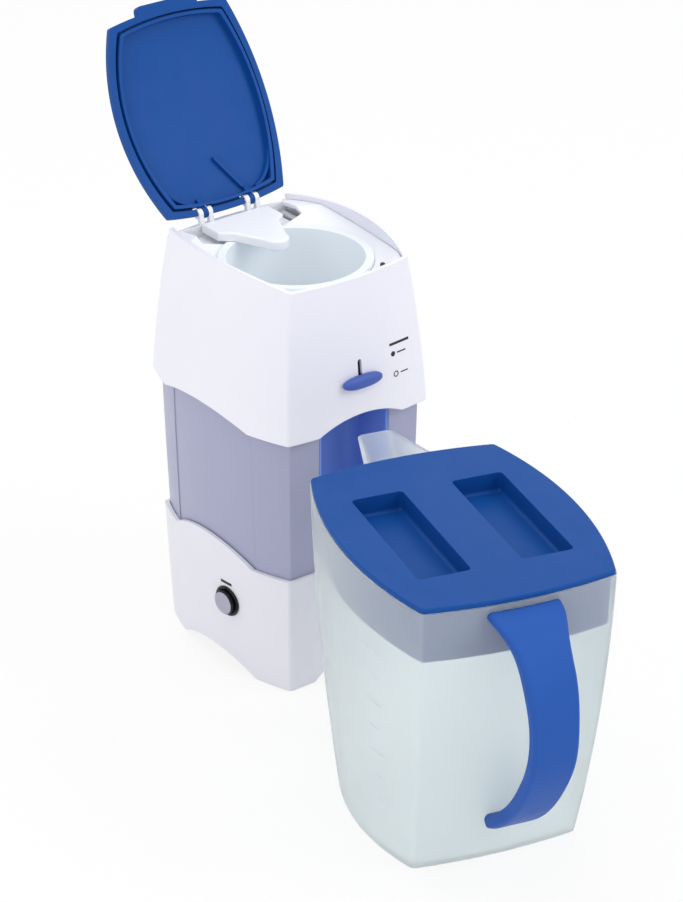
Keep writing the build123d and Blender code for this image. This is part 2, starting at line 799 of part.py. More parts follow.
with BuildPart() as drip_outlet:
    with BuildSketch(Plane.XY.offset(outlet_tip_z)):
        with Locations((0, outlet_y)):
            Circle(outlet_r)
    extrude(amount=well_floor_z - deck_wall - outlet_tip_z)
    with BuildSketch(Plane.XY.offset(well_floor_z - deck_wall - 2)):
        with Locations((0, outlet_y)):
            Circle(outlet_r + 3)
    extrude(amount=2)
    with BuildSketch(Plane.XY.offset(outlet_tip_z)):
        with Locations((0, outlet_y)):
            Circle(outlet_bore_r)
    extrude(amount=BIG / 4, mode=Mode.SUBTRACT)
    # flat on the flange and a window in the tube, both facing the flow gate
    with BuildSketch(Plane.XY.offset(outlet_tip_z)):
        with Locations((0, outlet_y - outlet_r - flat_gap - 5)):
            Rectangle(4 * outlet_r, 10)
    extrude(amount=BIG / 4, mode=Mode.SUBTRACT)
    with BuildSketch(Plane.XZ.offset(-outlet_y)):
        with Locations((0, window_z)):
            SlotOverall(6, 2.4)
    extrude(amount=2 * outlet_r, mode=Mode.SUBTRACT)
drip_outlet.part.label = "drip_outlet"

with BuildPart() as riser_block:
    with BuildSketch(Plane.XY.offset(tray_z)):
        with Locations((0, (riser_front_y + riser_back_y) / 2)):
            RectangleRounded(2 * riser_half_width, riser_back_y - riser_front_y, 2.5)
    extrude(amount=riser_top_z - tray_z)
    with BuildSketch(Plane.XY.offset(tray_z)):
        with Locations((riser_x, riser_y)):
            Circle(riser_r + 0.1)
    extrude(amount=riser_top_z - tray_z, mode=Mode.SUBTRACT)
riser_block.part.label = "riser_block"

with BuildPart() as riser_tube:
    with BuildSketch(Plane.XY.offset(tank_floor_z - spigot_drop)):
        with Locations((riser_x, riser_y)):
            Circle(riser_r)
            Circle(riser_bore_r, mode=Mode.SUBTRACT)
    extrude(amount=riser_top_z - 0.5 - tank_floor_z + spigot_drop)
riser_tube.part.label = "riser_tube"

with BuildPart() as riser_grommet:
    with BuildSketch(Plane.XY.offset(tank_floor_z + tank_wall)):
        with Locations((riser_x, riser_y)):
            Circle(riser_r + 3.5)
            Circle(riser_r + 0.05, mode=Mode.SUBTRACT)
    extrude(amount=2)
    with BuildSketch(Plane.XY.offset(tank_floor_z)):
        with Locations((riser_x, riser_y)):
            Circle(riser_r + 1.15)
            Circle(riser_r + 0.05, mode=Mode.SUBTRACT)
    extrude(amount=tank_wall)
riser_grommet.part.label = "riser_grommet"

with BuildPart() as brew_basket:
    basket_floor_z = basket_top_z - basket_depth
    with BuildSketch(well_side):
        with BuildLine():
            Polyline(
                (0, basket_floor_z),
                (basket_foot_r - 2, basket_floor_z),
                (basket_foot_r, basket_floor_z + 2),
                (basket_top_r, basket_top_z - basket_rim_thickness),
                (basket_rim_r, basket_top_z - basket_rim_thickness),
                (basket_rim_r, basket_top_z),
                (basket_top_r - basket_wall, basket_top_z),
                (basket_foot_r - basket_wall, basket_floor_z + basket_wall + 1.5),
                (basket_foot_r - basket_wall - 2, basket_floor_z + basket_wall),
                (0, basket_floor_z + basket_wall),
                close=True,
            )
        make_face()
    revolve(axis=well_axis)
    # drain hole, and ribs that keep the tea bags off the floor
    with BuildSketch(Plane.XY.offset(basket_floor_z + basket_wall - 0.2)):
        with Locations((0, well_centre_y)):
            with PolarLocations((basket_foot_r + basket_drain_r) / 2 - 1, 12):
                Rectangle(basket_foot_r - basket_drain_r - 8, 1.6)
    extrude(amount=2.2)
    with BuildSketch(Plane.XY.offset(basket_floor_z - 1)):
        with Locations((0, well_centre_y)):
            Circle(basket_drain_r)
    extrude(amount=6, mode=Mode.SUBTRACT)
brew_basket.part.label = "brew_basket"

with BuildPart() as basket_drain:
    drain_plane = Plane(origin=(0, well_centre_y, basket_floor_z), x_dir=(1, 0, 0), z_dir=(0, 0, 1))
    with BuildSketch(drain_plane.offset(-1.2)):
        Circle(basket_drain_r + 2)
    extrude(amount=1.1)
    with BuildSketch(drain_plane.offset(-0.2)):
        Circle(basket_drain_r - 0.1)
    extrude(amount=basket_wall + 1.2)
    with BuildSketch(drain_plane.offset(-2)):
        with PolarLocations(basket_drain_r * 0.55, 6):
            Circle(1.1)
        Circle(1.1)
    extrude(amount=8, mode=Mode.SUBTRACT)
basket_drain.part.label = "basket_drain"

arm_z = riser_top_z + gap
with BuildPart() as water_arm:
    arm_tip_centre = arm_tip_y + arm_half_width_tip
    with BuildSketch(Plane.XY.offset(arm_z)) as arm_plan:
        with BuildLine():
            Polyline((-arm_root_half_width, arm_back_y), (-arm_root_half_width, arm_root_y),
                     (-arm_half_width_back, arm_neck_y), (-arm_half_width_tip, arm_tip_centre))
            ThreePointArc((-arm_half_width_tip, arm_tip_centre), (0, arm_tip_y), (arm_half_width_tip, arm_tip_centre))
            Polyline((arm_half_width_tip, arm_tip_centre), (arm_half_width_back, arm_neck_y),
                     (arm_root_half_width, arm_root_y), (arm_root_half_width, arm_back_y),
                     (-arm_root_half_width, arm_back_y))
        make_face()
    extrude(amount=arm_height)
    fillet(water_arm.edges().group_by(Axis.Z)[-1], radius=1.4)
    with BuildSketch(Plane.XY.offset(arm_z + arm_wall)):
        add(arm_plan.sketch)
        offset(amount=-arm_wall, mode=Mode.REPLACE)
    extrude(amount=arm_height - 2 * arm_wall, mode=Mode.SUBTRACT)
    # socket over the riser, and the shower holes at the tip
    with BuildSketch(Plane.XY.offset(arm_z - 1)):
        with Locations((riser_x, riser_y)):
            Circle(riser_r - 0.4)
        with Locations((0, arm_tip_centre)):
            with PolarLocations(arm_half_width_tip * 0.5, 5, start_angle=90):
                Circle(1.2)
    extrude(amount=arm_wall + 2, mode=Mode.SUBTRACT)
    # short nozzles round the shower holes
    with BuildSketch(Plane.XY.offset(arm_z - nozzle_length)):
        with Locations((0, arm_tip_centre)):
            with PolarLocations(arm_half_width_tip * 0.5, 5, start_angle=90):
                Circle(2.0)
                Circle(1.2, mode=Mode.SUBTRACT)
    extrude(amount=nozzle_length)
water_arm.part.label = "water_arm"

# ---------------------------------------------------------------------------------------
# Lid and hinge: drawn shut, then swung open about the hinge
# ---------------------------------------------------------------------------------------

hinge_axis = Axis((0, hinge_y, hinge_z), (-1, 0, 0))


def lid_edge(half_width, half_depth):
    """The four bowed edges of the lid's plan."""
    _, _, _, side_bow, end_bow = upper_stations[2]
    ThreePointArc((-half_width, -half_depth), (0, -half_depth - end_bow), (half_width, -half_depth))
    ThreePointArc((half_width, -half_depth), (half_width + side_bow, 0), (half_width, half_depth))
    ThreePointArc((half_width, half_depth), (0, half_depth + end_bow), (-half_width, half_depth))
    ThreePointArc((-half_width, half_depth), (-half_width - side_bow, 0), (-half_width, -half_depth))


def lid_outline(inset):
    """Plan of the lid, set in from its edge."""
    return barrel(Plane.XY.offset(rim_z - 3 * lid_height), rim_half_width + lid_rim - inset,
                  rim_half_depth + lid_rim - inset, upper_stations[2][3], upper_stations[2][4],
                  max(corner_r + lid_rim - inset, 1.0))


def ring_outline(inset):
    """Plan of the splash ring: the lid's outline with wide arcs at the two hinge corners."""
    half_width = rim_half_width + lid_rim - inset
    half_depth = rim_half_depth + lid_rim - inset
    rear_r = lid_ring_rear_r - inset
    with BuildSketch(Plane.XY.offset(rim_z - 3 * lid_height)) as outline:
        with BuildLine():
            lid_edge(half_width, half_depth)
        make_face()
        front, rear = outline.vertices().group_by(Axis.Y)
        fillet(front, radius=2.0)
        fillet(rear, radius=rear_r)
    return outline.sketch


def lid_block(outline, low, high):
    """An outline carried up between two arches at these heights over the rim."""
    with BuildPart() as block:
        extrude(outline, amount=6 * lid_height)
        add(under_rim(high), mode=Mode.INTERSECT)
        add(under_rim(low), mode=Mode.SUBTRACT)
    return block.part


def stay():
    """Low rib on the lid's underside, running out to one knuckle."""
    x0, y0, x1, y1 = stay_rib
    run = hypot(x1 - x0, y1 - y0)
    underside = gap + lid_height - lid_wall
    with BuildPart() as rib:
        with BuildSketch(Plane(origin=(x0, y0, rim_z - lid_height), x_dir=(x1 - x0, y1 - y0, 0), z_dir=(0, 0, 1))):
            with Locations((run / 2, 0)):
                SlotOverall(run, stay_rib_width)
        extrude(amount=3 * lid_height)
        add(under_rim(underside + 0.2), mode=Mode.INTERSECT)
        add(under_rim(underside - stay_rib_height), mode=Mode.SUBTRACT)
    return rib.part


with BuildPart() as lid_shut:
    extrude(lid_outline(0), amount=6 * lid_height)
    # finger tab
    tab_front = rim_half_depth + lid_rim + upper_stations[2][4] + lid_tab_reach
    with BuildSketch(Plane.XY.offset(rim_z - 3 * lid_height)):
        with Locations((0, 2 * lid_tab_reach - tab_front)):
            RectangleRounded(2 * lid_tab_half_width, 4 * lid_tab_reach, 3.0)
    extrude(amount=6 * lid_height)
    add(under_rim(gap + lid_height), mode=Mode.INTERSECT)
    add(under_rim(gap), mode=Mode.SUBTRACT)
    fillet(lid_shut.faces().sort_by(Axis.Z)[-1].edges(), radius=2.0)
    # hollow underside inside the flange, and the splash ring that drops inside the rim
    ring_top = gap + lid_height - lid_wall
    add(lid_block(lid_outline(lid_flange), -lid_height, ring_top), mode=Mode.SUBTRACT)
    add(lid_block(ring_outline(lid_ring_inset), -lid_ring_drop, ring_top + 0.2))
    add(lid_block(ring_outline(lid_ring_inset + lid_ring_wall), -lid_height, ring_top), mode=Mode.SUBTRACT)
    add(stay(), mode=Mode.ADD)
    # notches for the hinge ears, then the knuckles between them
    notch_width = knuckle_width + 2 * (2 * gap + ear_width) + 0.6
    notch_reach = 10 - ear_r - 2 * gap
    with BuildSketch(Plane.XY.offset(rim_z - 3 * lid_height)):
        with Locations((hinge_x, hinge_y + notch_reach), (-hinge_x, hinge_y + notch_reach)):
            Rectangle(notch_width, 20)
    extrude(amount=6 * lid_height, mode=Mode.SUBTRACT)
    for side in (-1, 1):
        with BuildSketch(Plane.YZ.offset(side * hinge_x)):
            with Locations((hinge_y, hinge_z)):
                Circle(knuckle_r)
            with BuildLine():
                Polyline(
                    (hinge_y, hinge_z + knuckle_r),
                    (hinge_y - 9, hinge_z + knuckle_r + 0.6),
                    (hinge_y - 9, hinge_z + 1),
                    (hinge_y, hinge_z - knuckle_r),
                    close=True,
                )
            make_face()
            with Locations((hinge_y, hinge_z)):
                Circle(hinge_pin_r + hinge_running_gap, mode=Mode.SUBTRACT)
        extrude(amount=knuckle_width / 2, both=True)

with BuildPart() as lid:
    add(lid_shut.part.rotate(hinge_axis, lid_open_angle))
lid.part.label = "lid"

with BuildPart() as hinge_pins:
    pin_length = knuckle_width + 2 * (gap + ear_width)
    for side in (-1, 1):
        with BuildSketch(Plane.YZ.offset(side * hinge_x)):
            with Locations((hinge_y, hinge_z)):
                Circle(hinge_pin_r)
        extrude(amount=pin_length / 2, both=True)
hinge_pins.part.label = "hinge_pins"

# ---------------------------------------------------------------------------------------
# Strength selector
# ---------------------------------------------------------------------------------------

with BuildPart() as strength_knob:
    with BuildSketch(knob_plane.offset(knob_face_gap)):
        Ellipse(knob_half_width, knob_half_height)
    extrude(amount=knob_thickness, taper=8)
    fillet(strength_knob.faces().sort_by(Axis.Y)[0].edges(), radius=1.4)
    # finger ridge across the middle
    with BuildSketch(knob_plane.offset(knob_face_gap + knob_thickness - 0.2)):
        SlotOverall(1.1 * knob_half_width, 2.4)
    extrude(amount=1.4)
    with BuildSketch(knob_plane.offset(knob_face_gap)):
        Rectangle(stem_width, stem_height)
    extrude(amount=3, mode=Mode.SUBTRACT)
strength_knob.part.label = "strength_knob"

with BuildPart() as selector_slider:
    # stem through the slot, and the plate that keeps it in
    with BuildSketch(knob_plane.offset(-wall - 3 * gap)):
        Rectangle(stem_width - 0.2, stem_height - 0.2)
    extrude(amount=wall + 3 * gap + knob_face_gap + 2.8)
    with BuildSketch(knob_plane.offset(-wall - 3 * gap - slider_plate)):
        RectangleRounded(16, 18, 2)
    extrude(amount=slider_plate)
    # link down to the gate at the outlet
    with BuildSketch(knob_plane.offset(-wall - 3 * gap - 2 * slider_plate)):
        with Locations((0, (gate_z - knob_z) / 2 + 3)):
            Rectangle(8, knob_z - gate_z + 6)
    extrude(amount=slider_plate)
    with BuildSketch(Plane.XY.offset(gate_z)):
        link_front_y = knob_face_y + wall + 1.5
        with Locations((0, (link_front_y + gate_y) / 2)):
            Rectangle(8, gate_y - link_front_y)
    extrude(amount=slider_plate)
selector_slider.part.label = "selector_slider"

with BuildPart() as flow_gate:
    with BuildSketch(Plane.XY.offset(gate_z)):
        with Locations((0, gate_y + gate_thickness / 2)):
            Rectangle(11, gate_thickness)
    extrude(amount=gate_height)
flow_gate.part.label = "flow_gate"

# ---------------------------------------------------------------------------------------
# Start button in the base
# ---------------------------------------------------------------------------------------

with BuildPart() as button_bezel:
    with BuildSketch(button_plane.offset(0.45)):
        Circle(bezel_r)
    extrude(amount=1.3)
    chamfer(button_bezel.edges().sort_by(Axis.X)[0], length=0.7)
    with BuildSketch(button_plane.offset(-bezel_depth)):
        Circle(bezel_sleeve_r)
    extrude(amount=bezel_depth + 0.5)
    with BuildSketch(button_plane.offset(-bezel_depth - 1)):
        Circle(button_r + gap)
    extrude(amount=bezel_depth + 4, mode=Mode.SUBTRACT)
button_bezel.part.label = "button_bezel"

with BuildPart() as start_button:
    with BuildSketch(button_plane.offset(-bezel_depth + button_travel + 1)):
        Circle(button_r)
    extrude(amount=bezel_depth - button_travel - 1 + button_proud)
    fillet(start_button.edges().sort_by(Axis.X)[0], radius=0.8)
start_button.part.label = "start_button"

with BuildPart() as start_switch:
    with BuildSketch(button_plane.offset(-bezel_depth - switch_depth - gap)):
        RectangleRounded(2.2 * button_r, 2.2 * button_r, 1.5)
    extrude(amount=switch_depth)
    with BuildSketch(button_plane.offset(-bezel_depth - switch_depth - gap - 7)):
        with GridLocations(8, 0, 2, 1):
            Rectangle(0.8, 4.8)
    extrude(amount=8)
start_switch.part.label = "start_switch"

# ---------------------------------------------------------------------------------------
# Heater and water path in the base
# ---------------------------------------------------------------------------------------

with BuildPart() as heater_block:
    with BuildSketch(Plane.XZ.offset(-heater_back_y)):
        with Locations((riser_x, heater_z), (-riser_x, heater_z)):
            Circle(heater_tube_r)
        with Locations((0, heater_z - 1)):
            Rectangle(2 * riser_x, heater_tube_r + 3)
    extrude(amount=heater_back_y - heater_front_y)
    with BuildSketch(Plane.XZ.offset(-heater_back_y)):
        with Locations((riser_x, heater_z), (-riser_x, heater_z)):
            Circle(heater_bore_r)
    extrude(amount=heater_back_y - heater_front_y, mode=Mode.SUBTRACT)
    # rod bore for the heating element
    with BuildSketch(Plane.XZ.offset(-heater_back_y)):
        with Locations((0, heater_z - 1)):
            Circle(element_r + 0.05)
    extrude(amount=heater_back_y - heater_front_y, mode=Mode.SUBTRACT)
    # spigots for the hoses at the rear
    with BuildSketch(Plane.XZ.offset(-heater_back_y)):
        with Locations((riser_x, heater_z), (-riser_x, heater_z)):
            Circle(spigot_r)
            Circle(heater_bore_r, mode=Mode.SUBTRACT)
    extrude(amount=-heater_spigot)
heater_block.part.label = "heater_block"

with BuildPart() as heater_bend:
    # U-bend joining the two water bores at the front
    with BuildLine() as bend_path:
        ThreePointArc((riser_x, heater_front_y - gap, heater_z), (0, heater_front_y - gap - riser_x, heater_z),
                      (-riser_x, heater_front_y - gap, heater_z))
    with BuildSketch(Plane(origin=(riser_x, heater_front_y - gap, heater_z), z_dir=(0, -1, 0))):
        Circle(heater_tube_r - 0.8)
        Circle(heater_bore_r, mode=Mode.SUBTRACT)
    sweep(path=bend_path.line)
heater_bend.part.label = "heater_bend"

with BuildPart() as heater_element:
    with BuildSketch(Plane.XZ.offset(-heater_back_y - 6)):
        with Locations((0, heater_z - 1)):
            Circle(element_r)
    extrude(amount=heater_back_y - heater_front_y + 8)
heater_element.part.label = "heater_element"

with BuildPart() as heater_bracket:
    # strap over the block, with a foot at each side standing on the bottom plate
    strap_r = heater_tube_r + gap + 0.2
    strap_top = heater_z + strap_r
    with BuildSketch(Plane.XZ.offset(-bracket_y)):
        with Locations((0, (strap_top + strap_wall + plate_top) / 2)):
            Rectangle(2 * (riser_x + strap_r + strap_wall), strap_top + strap_wall - plate_top)
        with Locations((0, (strap_top + plate_top) / 2)):
            Rectangle(2 * (riser_x + strap_r), strap_top - plate_top, mode=Mode.SUBTRACT)
        for side in (-1, 1):
            with Locations((side * (riser_x + strap_r + strap_wall + 4.5), plate_top + strap_wall / 2)):
                Rectangle(9.1, strap_wall)
        with Locations((0, plate_top + (heater_z - heater_tube_r - gap - plate_top) / 2)):
            Rectangle(2 * (riser_x + strap_r), heater_z - heater_tube_r - gap - plate_top)
    extrude(amount=12, both=True)
    with BuildSketch(Plane.XY.offset(plate_top)):
        with Locations((riser_x + strap_r + strap_wall + 5, bracket_y), (-riser_x - strap_r - strap_wall - 5, bracket_y)):
            Circle(screw_r + 0.1)
    extrude(amount=strap_wall, mode=Mode.SUBTRACT)
heater_bracket.part.label = "heater_bracket"

with BuildPart() as thermostat:
    with BuildSketch(Plane.XY.offset(strap_top + strap_wall)):
        with Locations((0, bracket_y)):
            Circle(8)
    extrude(amount=5)
    with BuildSketch(Plane.XY.offset(strap_top + strap_wall + 5)):
        with Locations((0, bracket_y)):
            Circle(6)
            Rectangle(20, 5)
    extrude(amount=2.5)
thermostat.part.label = "thermostat"

with BuildPart() as thermal_fuses:
    with BuildSketch(Plane.XZ.offset(-bracket_y + 12.5)):
        with Locations((-3.2, heater_z + fuse_rise), (3.2, heater_z + fuse_rise)):
            Circle(2.2)
    extrude(amount=18)
thermal_fuses.part.label = "thermal_fuses"


def bent_hose(x):
    """Hose from a heater spigot back and up to the tank, through one quarter bend."""
    start = (x, heater_back_y + 1, heater_z)
    bend_y = riser_y - hose_bend_r
    with BuildPart() as hose:
        with BuildLine() as path:
            Line(start, (x, bend_y, heater_z))
            TangentArc((x, bend_y, heater_z), (x, riser_y, heater_z + hose_bend_r), tangent=(0, 1, 0))
            Line((x, riser_y, heater_z + hose_bend_r), (x, riser_y, hose_top_z))
        with BuildSketch(Plane(origin=start, z_dir=(0, 1, 0))):
            Circle(hose_r)
        sweep(path=path.line)
        with BuildSketch(Plane(origin=start, z_dir=(0, 1, 0))):
            Circle(spigot_r + 0.05)
        sweep(path=path.line, mode=Mode.SUBTRACT)
    return hose


inlet_hose = bent_hose(-riser_x)
inlet_hose.part.label = "inlet_hose"
riser_hose = bent_hose(riser_x)
riser_hose.part.label = "riser_hose"

with BuildPart() as check_valve:
    # float cage inside the inlet hose, just under the tank
    with BuildSketch(Plane.XY.offset(heater_z + hose_bend_r + 1)):
        with Locations((-riser_x, riser_y)):
            Circle(spigot_r - 0.1)
            Circle(1.6, mode=Mode.SUBTRACT)
    extrude(amount=5)
check_valve.part.label = "check_valve"

with BuildPart() as hose_clamps:
    for x in (-riser_x, riser_x):
        with BuildSketch(Plane.XY.offset(hose_top_z - 4.5)):
            with Locations((x, riser_y)):
                Circle(hose_r + 1.0)
                Circle(hose_r + 0.02, mode=Mode.SUBTRACT)
        extrude(amount=2.5)
        with BuildSketch(Plane.XZ.offset(-heater_back_y - 3)):
            with Locations((x, heater_z)):
                Circle(hose_r + 1.0)
                Circle(hose_r + 0.02, mode=Mode.SUBTRACT)
        extrude(amount=-2.5)
hose_clamps.part.label = "hose_clamps"

gland_half_width, gland_depth, _, gland_bow = size_at(lower_stations, gland_z)
gland_y = gland_depth + gland_bow * (1 - (gland_x / gland_half_width) ** 2)

with BuildPart() as cord_gland:
    with BuildSketch(Plane.XZ.offset(-gland_y + 6)):
        with Locations((gland_x, gland_z)):
            Circle(gland_r - 0.1)
    extrude(amount=-8)
    with BuildSketch(Plane.XZ.offset(-gland_y - gland_stand)):
        with Locations((gland_x, gland_z)):
            Circle(gland_r + 2)
    extrude(amount=-2)
    with BuildSketch(Plane.XZ.offset(-gland_y + wall + 1)):
        with Locations((gland_x, gland_z)):
            Circle(gland_r + 2)
    extrude(amount=2)
    with BuildSketch(Plane.XZ.offset(-gland_y + 8)):
        with Locations((gland_x, gland_z)):
            Circle(3.2)
    extrude(amount=-14, mode=Mode.SUBTRACT)
cord_gland.part.label = "cord_gland"

with BuildPart() as lid_bumper:
    with BuildSketch(Plane.XY.offset(bumper_low_z)):
        with Locations((bumper_x, bumper_y)):
            Circle(bumper_r - 0.05)
    extrude(amount=bumper_high_z - bumper_low_z)
    fillet(lid_bumper.edges().group_by(Axis.Z)[-1], radius=0.6)
lid_bumper.part.label = "lid_bumper"

# ---------------------------------------------------------------------------------------
# Pitcher
# ---------------------------------------------------------------------------------------


def pitcher_form(inset, low=0.0):
    """The pitcher's outer form, set in from its face, trimmed below a height."""
    with BuildPart() as form:
        loft([
            barrel(pitcher_plane.offset(z), w - inset, d - inset, side, end, max(pitcher_corner_r - inset, 1.0))
            for z, w, d, side, end in pitcher_stations
        ])
        if low > 0:
            add(slab(-10, low), mode=Mode.SUBTRACT)
    return form.part


def spout_plan(plane, nose, inset, shrink):
    """Plan of the spout: sides drawing in from the root to a flat nose with rounded corners."""
    root_half = shrink * spout_root_half_width - inset
    nose_half = shrink * spout_nose_half_width - inset
    with BuildSketch(plane) as plan:
        with BuildLine():
            Polyline((-root_half, spout_root), (-nose_half, nose - inset), (nose_half, nose - inset),
                     (root_half, spout_root), close=True)
        make_face()
        tip = [v for v in plan.vertices() if v.Y > nose - inset - 1]
        fillet(tip, radius=spout_corner_r - inset)
    return plan.sketch


rim_back = pitcher_stations[2][2] + pitcher_stations[2][4]

with BuildPart() as pitcher_body:
    add(pitcher_form(0))
    spout_foot = pitcher_height - spout_depth
    loft([
        spout_plan(pitcher_plane.offset(spout_foot), rim_back - 3, 0, spout_foot_share),
        spout_plan(pitcher_plane.offset(pitcher_height), rim_back + spout_reach, 0, 1),
    ])
    add(pitcher_form(pitcher_wall, pitcher_floor), mode=Mode.SUBTRACT)
    loft([
        spout_plan(pitcher_plane.offset(spout_foot + 3), rim_back - 3, pitcher_wall, spout_foot_share),
        spout_plan(pitcher_plane.offset(pitcher_height + 0.01), rim_back + spout_reach, pitcher_wall, 1),
    ], mode=Mode.SUBTRACT)
pitcher_body.part.label = "pitcher_body"

def strap_edge(shift):
    """The handle's centre line moved sideways in its own plane."""
    points = []
    count = len(handle_path)
    for i in range(count):
        y0, z0 = handle_path[max(i - 1, 0)]
        y1, z1 = handle_path[min(i + 1, count - 1)]
        run = hypot(y1 - y0, z1 - z0)
        y, z = handle_path[i]
        points.append((-y - shift * (z1 - z0) / run, z - shift * (y1 - y0) / run))
    return points


with BuildPart() as pitcher_handle:
    outer_edge = strap_edge(-handle_thickness / 2)
    inner_edge = strap_edge(handle_thickness / 2)
    with BuildSketch(pitcher_side.offset(-handle_widths[0])):
        with BuildLine():
            Spline(outer_edge)
            Spline(inner_edge)
            Line(outer_edge[0], inner_edge[0])
            Line(outer_edge[-1], inner_edge[-1])
        make_face()
    extrude(amount=2 * handle_widths[0])
    with BuildSketch(pitcher_front):
        edge = [(w / 2, z) for w, (_, z) in zip(handle_widths, handle_path)]
        top = (handle_widths[0] / 2 + 1, handle_path[0][1] + 12)
        low = (handle_widths[-1] / 2, handle_path[-1][1] - 12)
        right = [top] + edge + [low]
        with BuildLine():
            Spline(right)
            Spline([(-x, z) for x, z in right])
            Line(right[0], (-right[0][0], right[0][1]))
            Line(right[-1], (-right[-1][0], right[-1][1]))
        make_face()
    extrude(amount=BIG / 2, mode=Mode.INTERSECT)
    add(pitcher_form(-gap), mode=Mode.SUBTRACT)
    fillet(pitcher_handle.edges().sort_by(SortBy.LENGTH)[-4:], radius=handle_edge_r)
pitcher_handle.part.label = "pitcher_handle"

skirt_inset = pitcher_wall + skirt_gap


def skirt_shell():
    """The lid's plug skirt, following the taper of the body's inside."""
    skirt_foot = pitcher_height - pitcher_skirt_depth
    _, width, depth, side, end = pitcher_stations[-1]
    rim_r = max(pitcher_corner_r - skirt_inset, 1.0)
    with BuildPart() as skirt:
        add(pitcher_form(skirt_inset, skirt_foot))
        rim_plane = pitcher_plane.offset(pitcher_height)
        extrude(barrel(rim_plane, width - skirt_inset, depth - skirt_inset, side, end, rim_r), amount=gap + 0.5)
        add(pitcher_form(skirt_inset + pitcher_skirt_wall, skirt_foot - 1), mode=Mode.SUBTRACT)
    return skirt.part


with BuildPart() as pitcher_lid:
    lid_low = pitcher_height + gap
    lid_high = lid_low + pitcher_lid_thickness
    _, p_width, p_depth, p_side, p_end = pitcher_stations[2]
    extrude(barrel(pitcher_plane.offset(lid_low), p_width + pitcher_lid_rim, p_depth + pitcher_lid_rim, p_side,
                   p_end, pitcher_corner_r + pitcher_lid_rim), amount=pitcher_lid_thickness)
    fillet(pitcher_lid.faces().sort_by(Axis.Z)[-1].edges(), radius=1.2)
    # plug skirt inside the body
    add(skirt_shell())
    # hollow underside inside the skirt
    hollow = skirt_inset + pitcher_skirt_wall
    extrude(barrel(pitcher_plane.offset(lid_low - 1), p_width - hollow, p_depth - hollow, p_side, p_end, 1.0),
            amount=pitcher_lid_thickness - lid_wall + 1, mode=Mode.SUBTRACT)
    # two finger pockets with a grip bar between them
    pocket_width = pocket_outer_x - pocket_inner_x
    pocket_x = (pocket_outer_x + pocket_inner_x) / 2
    pocket_y = (pocket_front_y + pocket_back_y) / 2
    with BuildSketch(pitcher_plane.offset(lid_high - pocket_depth - pocket_wall)):
        with Locations((pocket_x, pocket_y), (-pocket_x, pocket_y)):
            RectangleRounded(pocket_width + 2 * pocket_wall, pocket_back_y - pocket_front_y + 2 * pocket_wall,
                             pocket_r + pocket_wall)
    extrude(amount=pocket_depth + pocket_wall - lid_wall)
    with BuildSketch(pitcher_plane.offset(lid_high - pocket_depth)):
        with Locations((pocket_x, pocket_y), (-pocket_x, pocket_y)):
            RectangleRounded(pocket_width, pocket_back_y - pocket_front_y, pocket_r)
    extrude(amount=pocket_depth + 1, mode=Mode.SUBTRACT)
    pocket_floor_z = lid_high - pocket_depth
    fillet(pitcher_lid.edges().filter_by_position(Axis.Z, pocket_floor_z - 0.01, pocket_floor_z + 0.01),
           radius=pocket_floor_r)
    # strainer slots in the skirt, in front of the spout
    with BuildSketch(pitcher_front):
        with Locations((0, pitcher_height - pitcher_skirt_depth / 2)):
            with GridLocations(5, 0, 6, 1):
                SlotOverall(pitcher_skirt_depth - 12, 2.4, rotation=90)
    extrude(amount=-BIG / 2, mode=Mode.SUBTRACT)
pitcher_lid.part.label = "pitcher_lid"

pieces = [
    upper_housing, base_shell, tank_shelf, bottom_plate, rubber_feet, plate_screws, reservoir_tank,
    dock_panel, brew_deck, brew_well, drip_outlet, riser_block, riser_tube, riser_grommet, hinge_pins, lid_bumper,
    heater_block, heater_bend, heater_element, heater_bracket, thermostat, thermal_fuses,
    inlet_hose, riser_hose, check_valve, hose_clamps, cord_gland, button_bezel, start_switch,
    lid, brew_basket, basket_drain, water_arm,
    strength_knob, selector_slider, flow_gate, start_button,
    pitcher_body, pitcher_handle, pitcher_lid,
]

os.makedirs("parts", exist_ok=True)
for piece in pieces:
    export_step(piece.part, f"parts/{piece.part.label}.step")
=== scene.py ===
import json
from math import copysign, cos, pi, radians, sin

import bmesh
import bpy
from mathutils import Matrix, Vector
from mathutils.bvhtree import BVHTree

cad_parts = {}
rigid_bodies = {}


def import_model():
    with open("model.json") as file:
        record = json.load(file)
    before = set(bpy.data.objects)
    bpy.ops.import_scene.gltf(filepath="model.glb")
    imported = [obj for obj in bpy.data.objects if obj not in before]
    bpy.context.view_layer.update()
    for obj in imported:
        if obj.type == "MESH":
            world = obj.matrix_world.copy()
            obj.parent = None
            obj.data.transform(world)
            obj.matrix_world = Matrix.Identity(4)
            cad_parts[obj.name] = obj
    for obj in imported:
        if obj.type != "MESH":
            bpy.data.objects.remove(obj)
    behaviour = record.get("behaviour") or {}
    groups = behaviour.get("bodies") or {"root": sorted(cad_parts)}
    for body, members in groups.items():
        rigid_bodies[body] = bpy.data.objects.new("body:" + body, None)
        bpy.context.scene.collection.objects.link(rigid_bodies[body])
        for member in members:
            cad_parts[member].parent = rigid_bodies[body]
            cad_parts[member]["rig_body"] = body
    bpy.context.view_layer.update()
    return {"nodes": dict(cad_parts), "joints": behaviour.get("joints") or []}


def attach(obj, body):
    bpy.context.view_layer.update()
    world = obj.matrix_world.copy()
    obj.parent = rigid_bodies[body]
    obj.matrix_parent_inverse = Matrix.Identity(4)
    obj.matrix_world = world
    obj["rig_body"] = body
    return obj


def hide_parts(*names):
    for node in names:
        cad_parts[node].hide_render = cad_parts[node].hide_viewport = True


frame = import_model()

bl_info = {
    "name": "Iced Tea Maker",
    "version": (1, 0, 0),
    "blender": (4, 5, 0),
    "location": "3D View > Sidebar > Iced Tea Maker",
    "description": "Finishes, printed marks and studio for a countertop iced tea maker",
    "category": "Object",
}

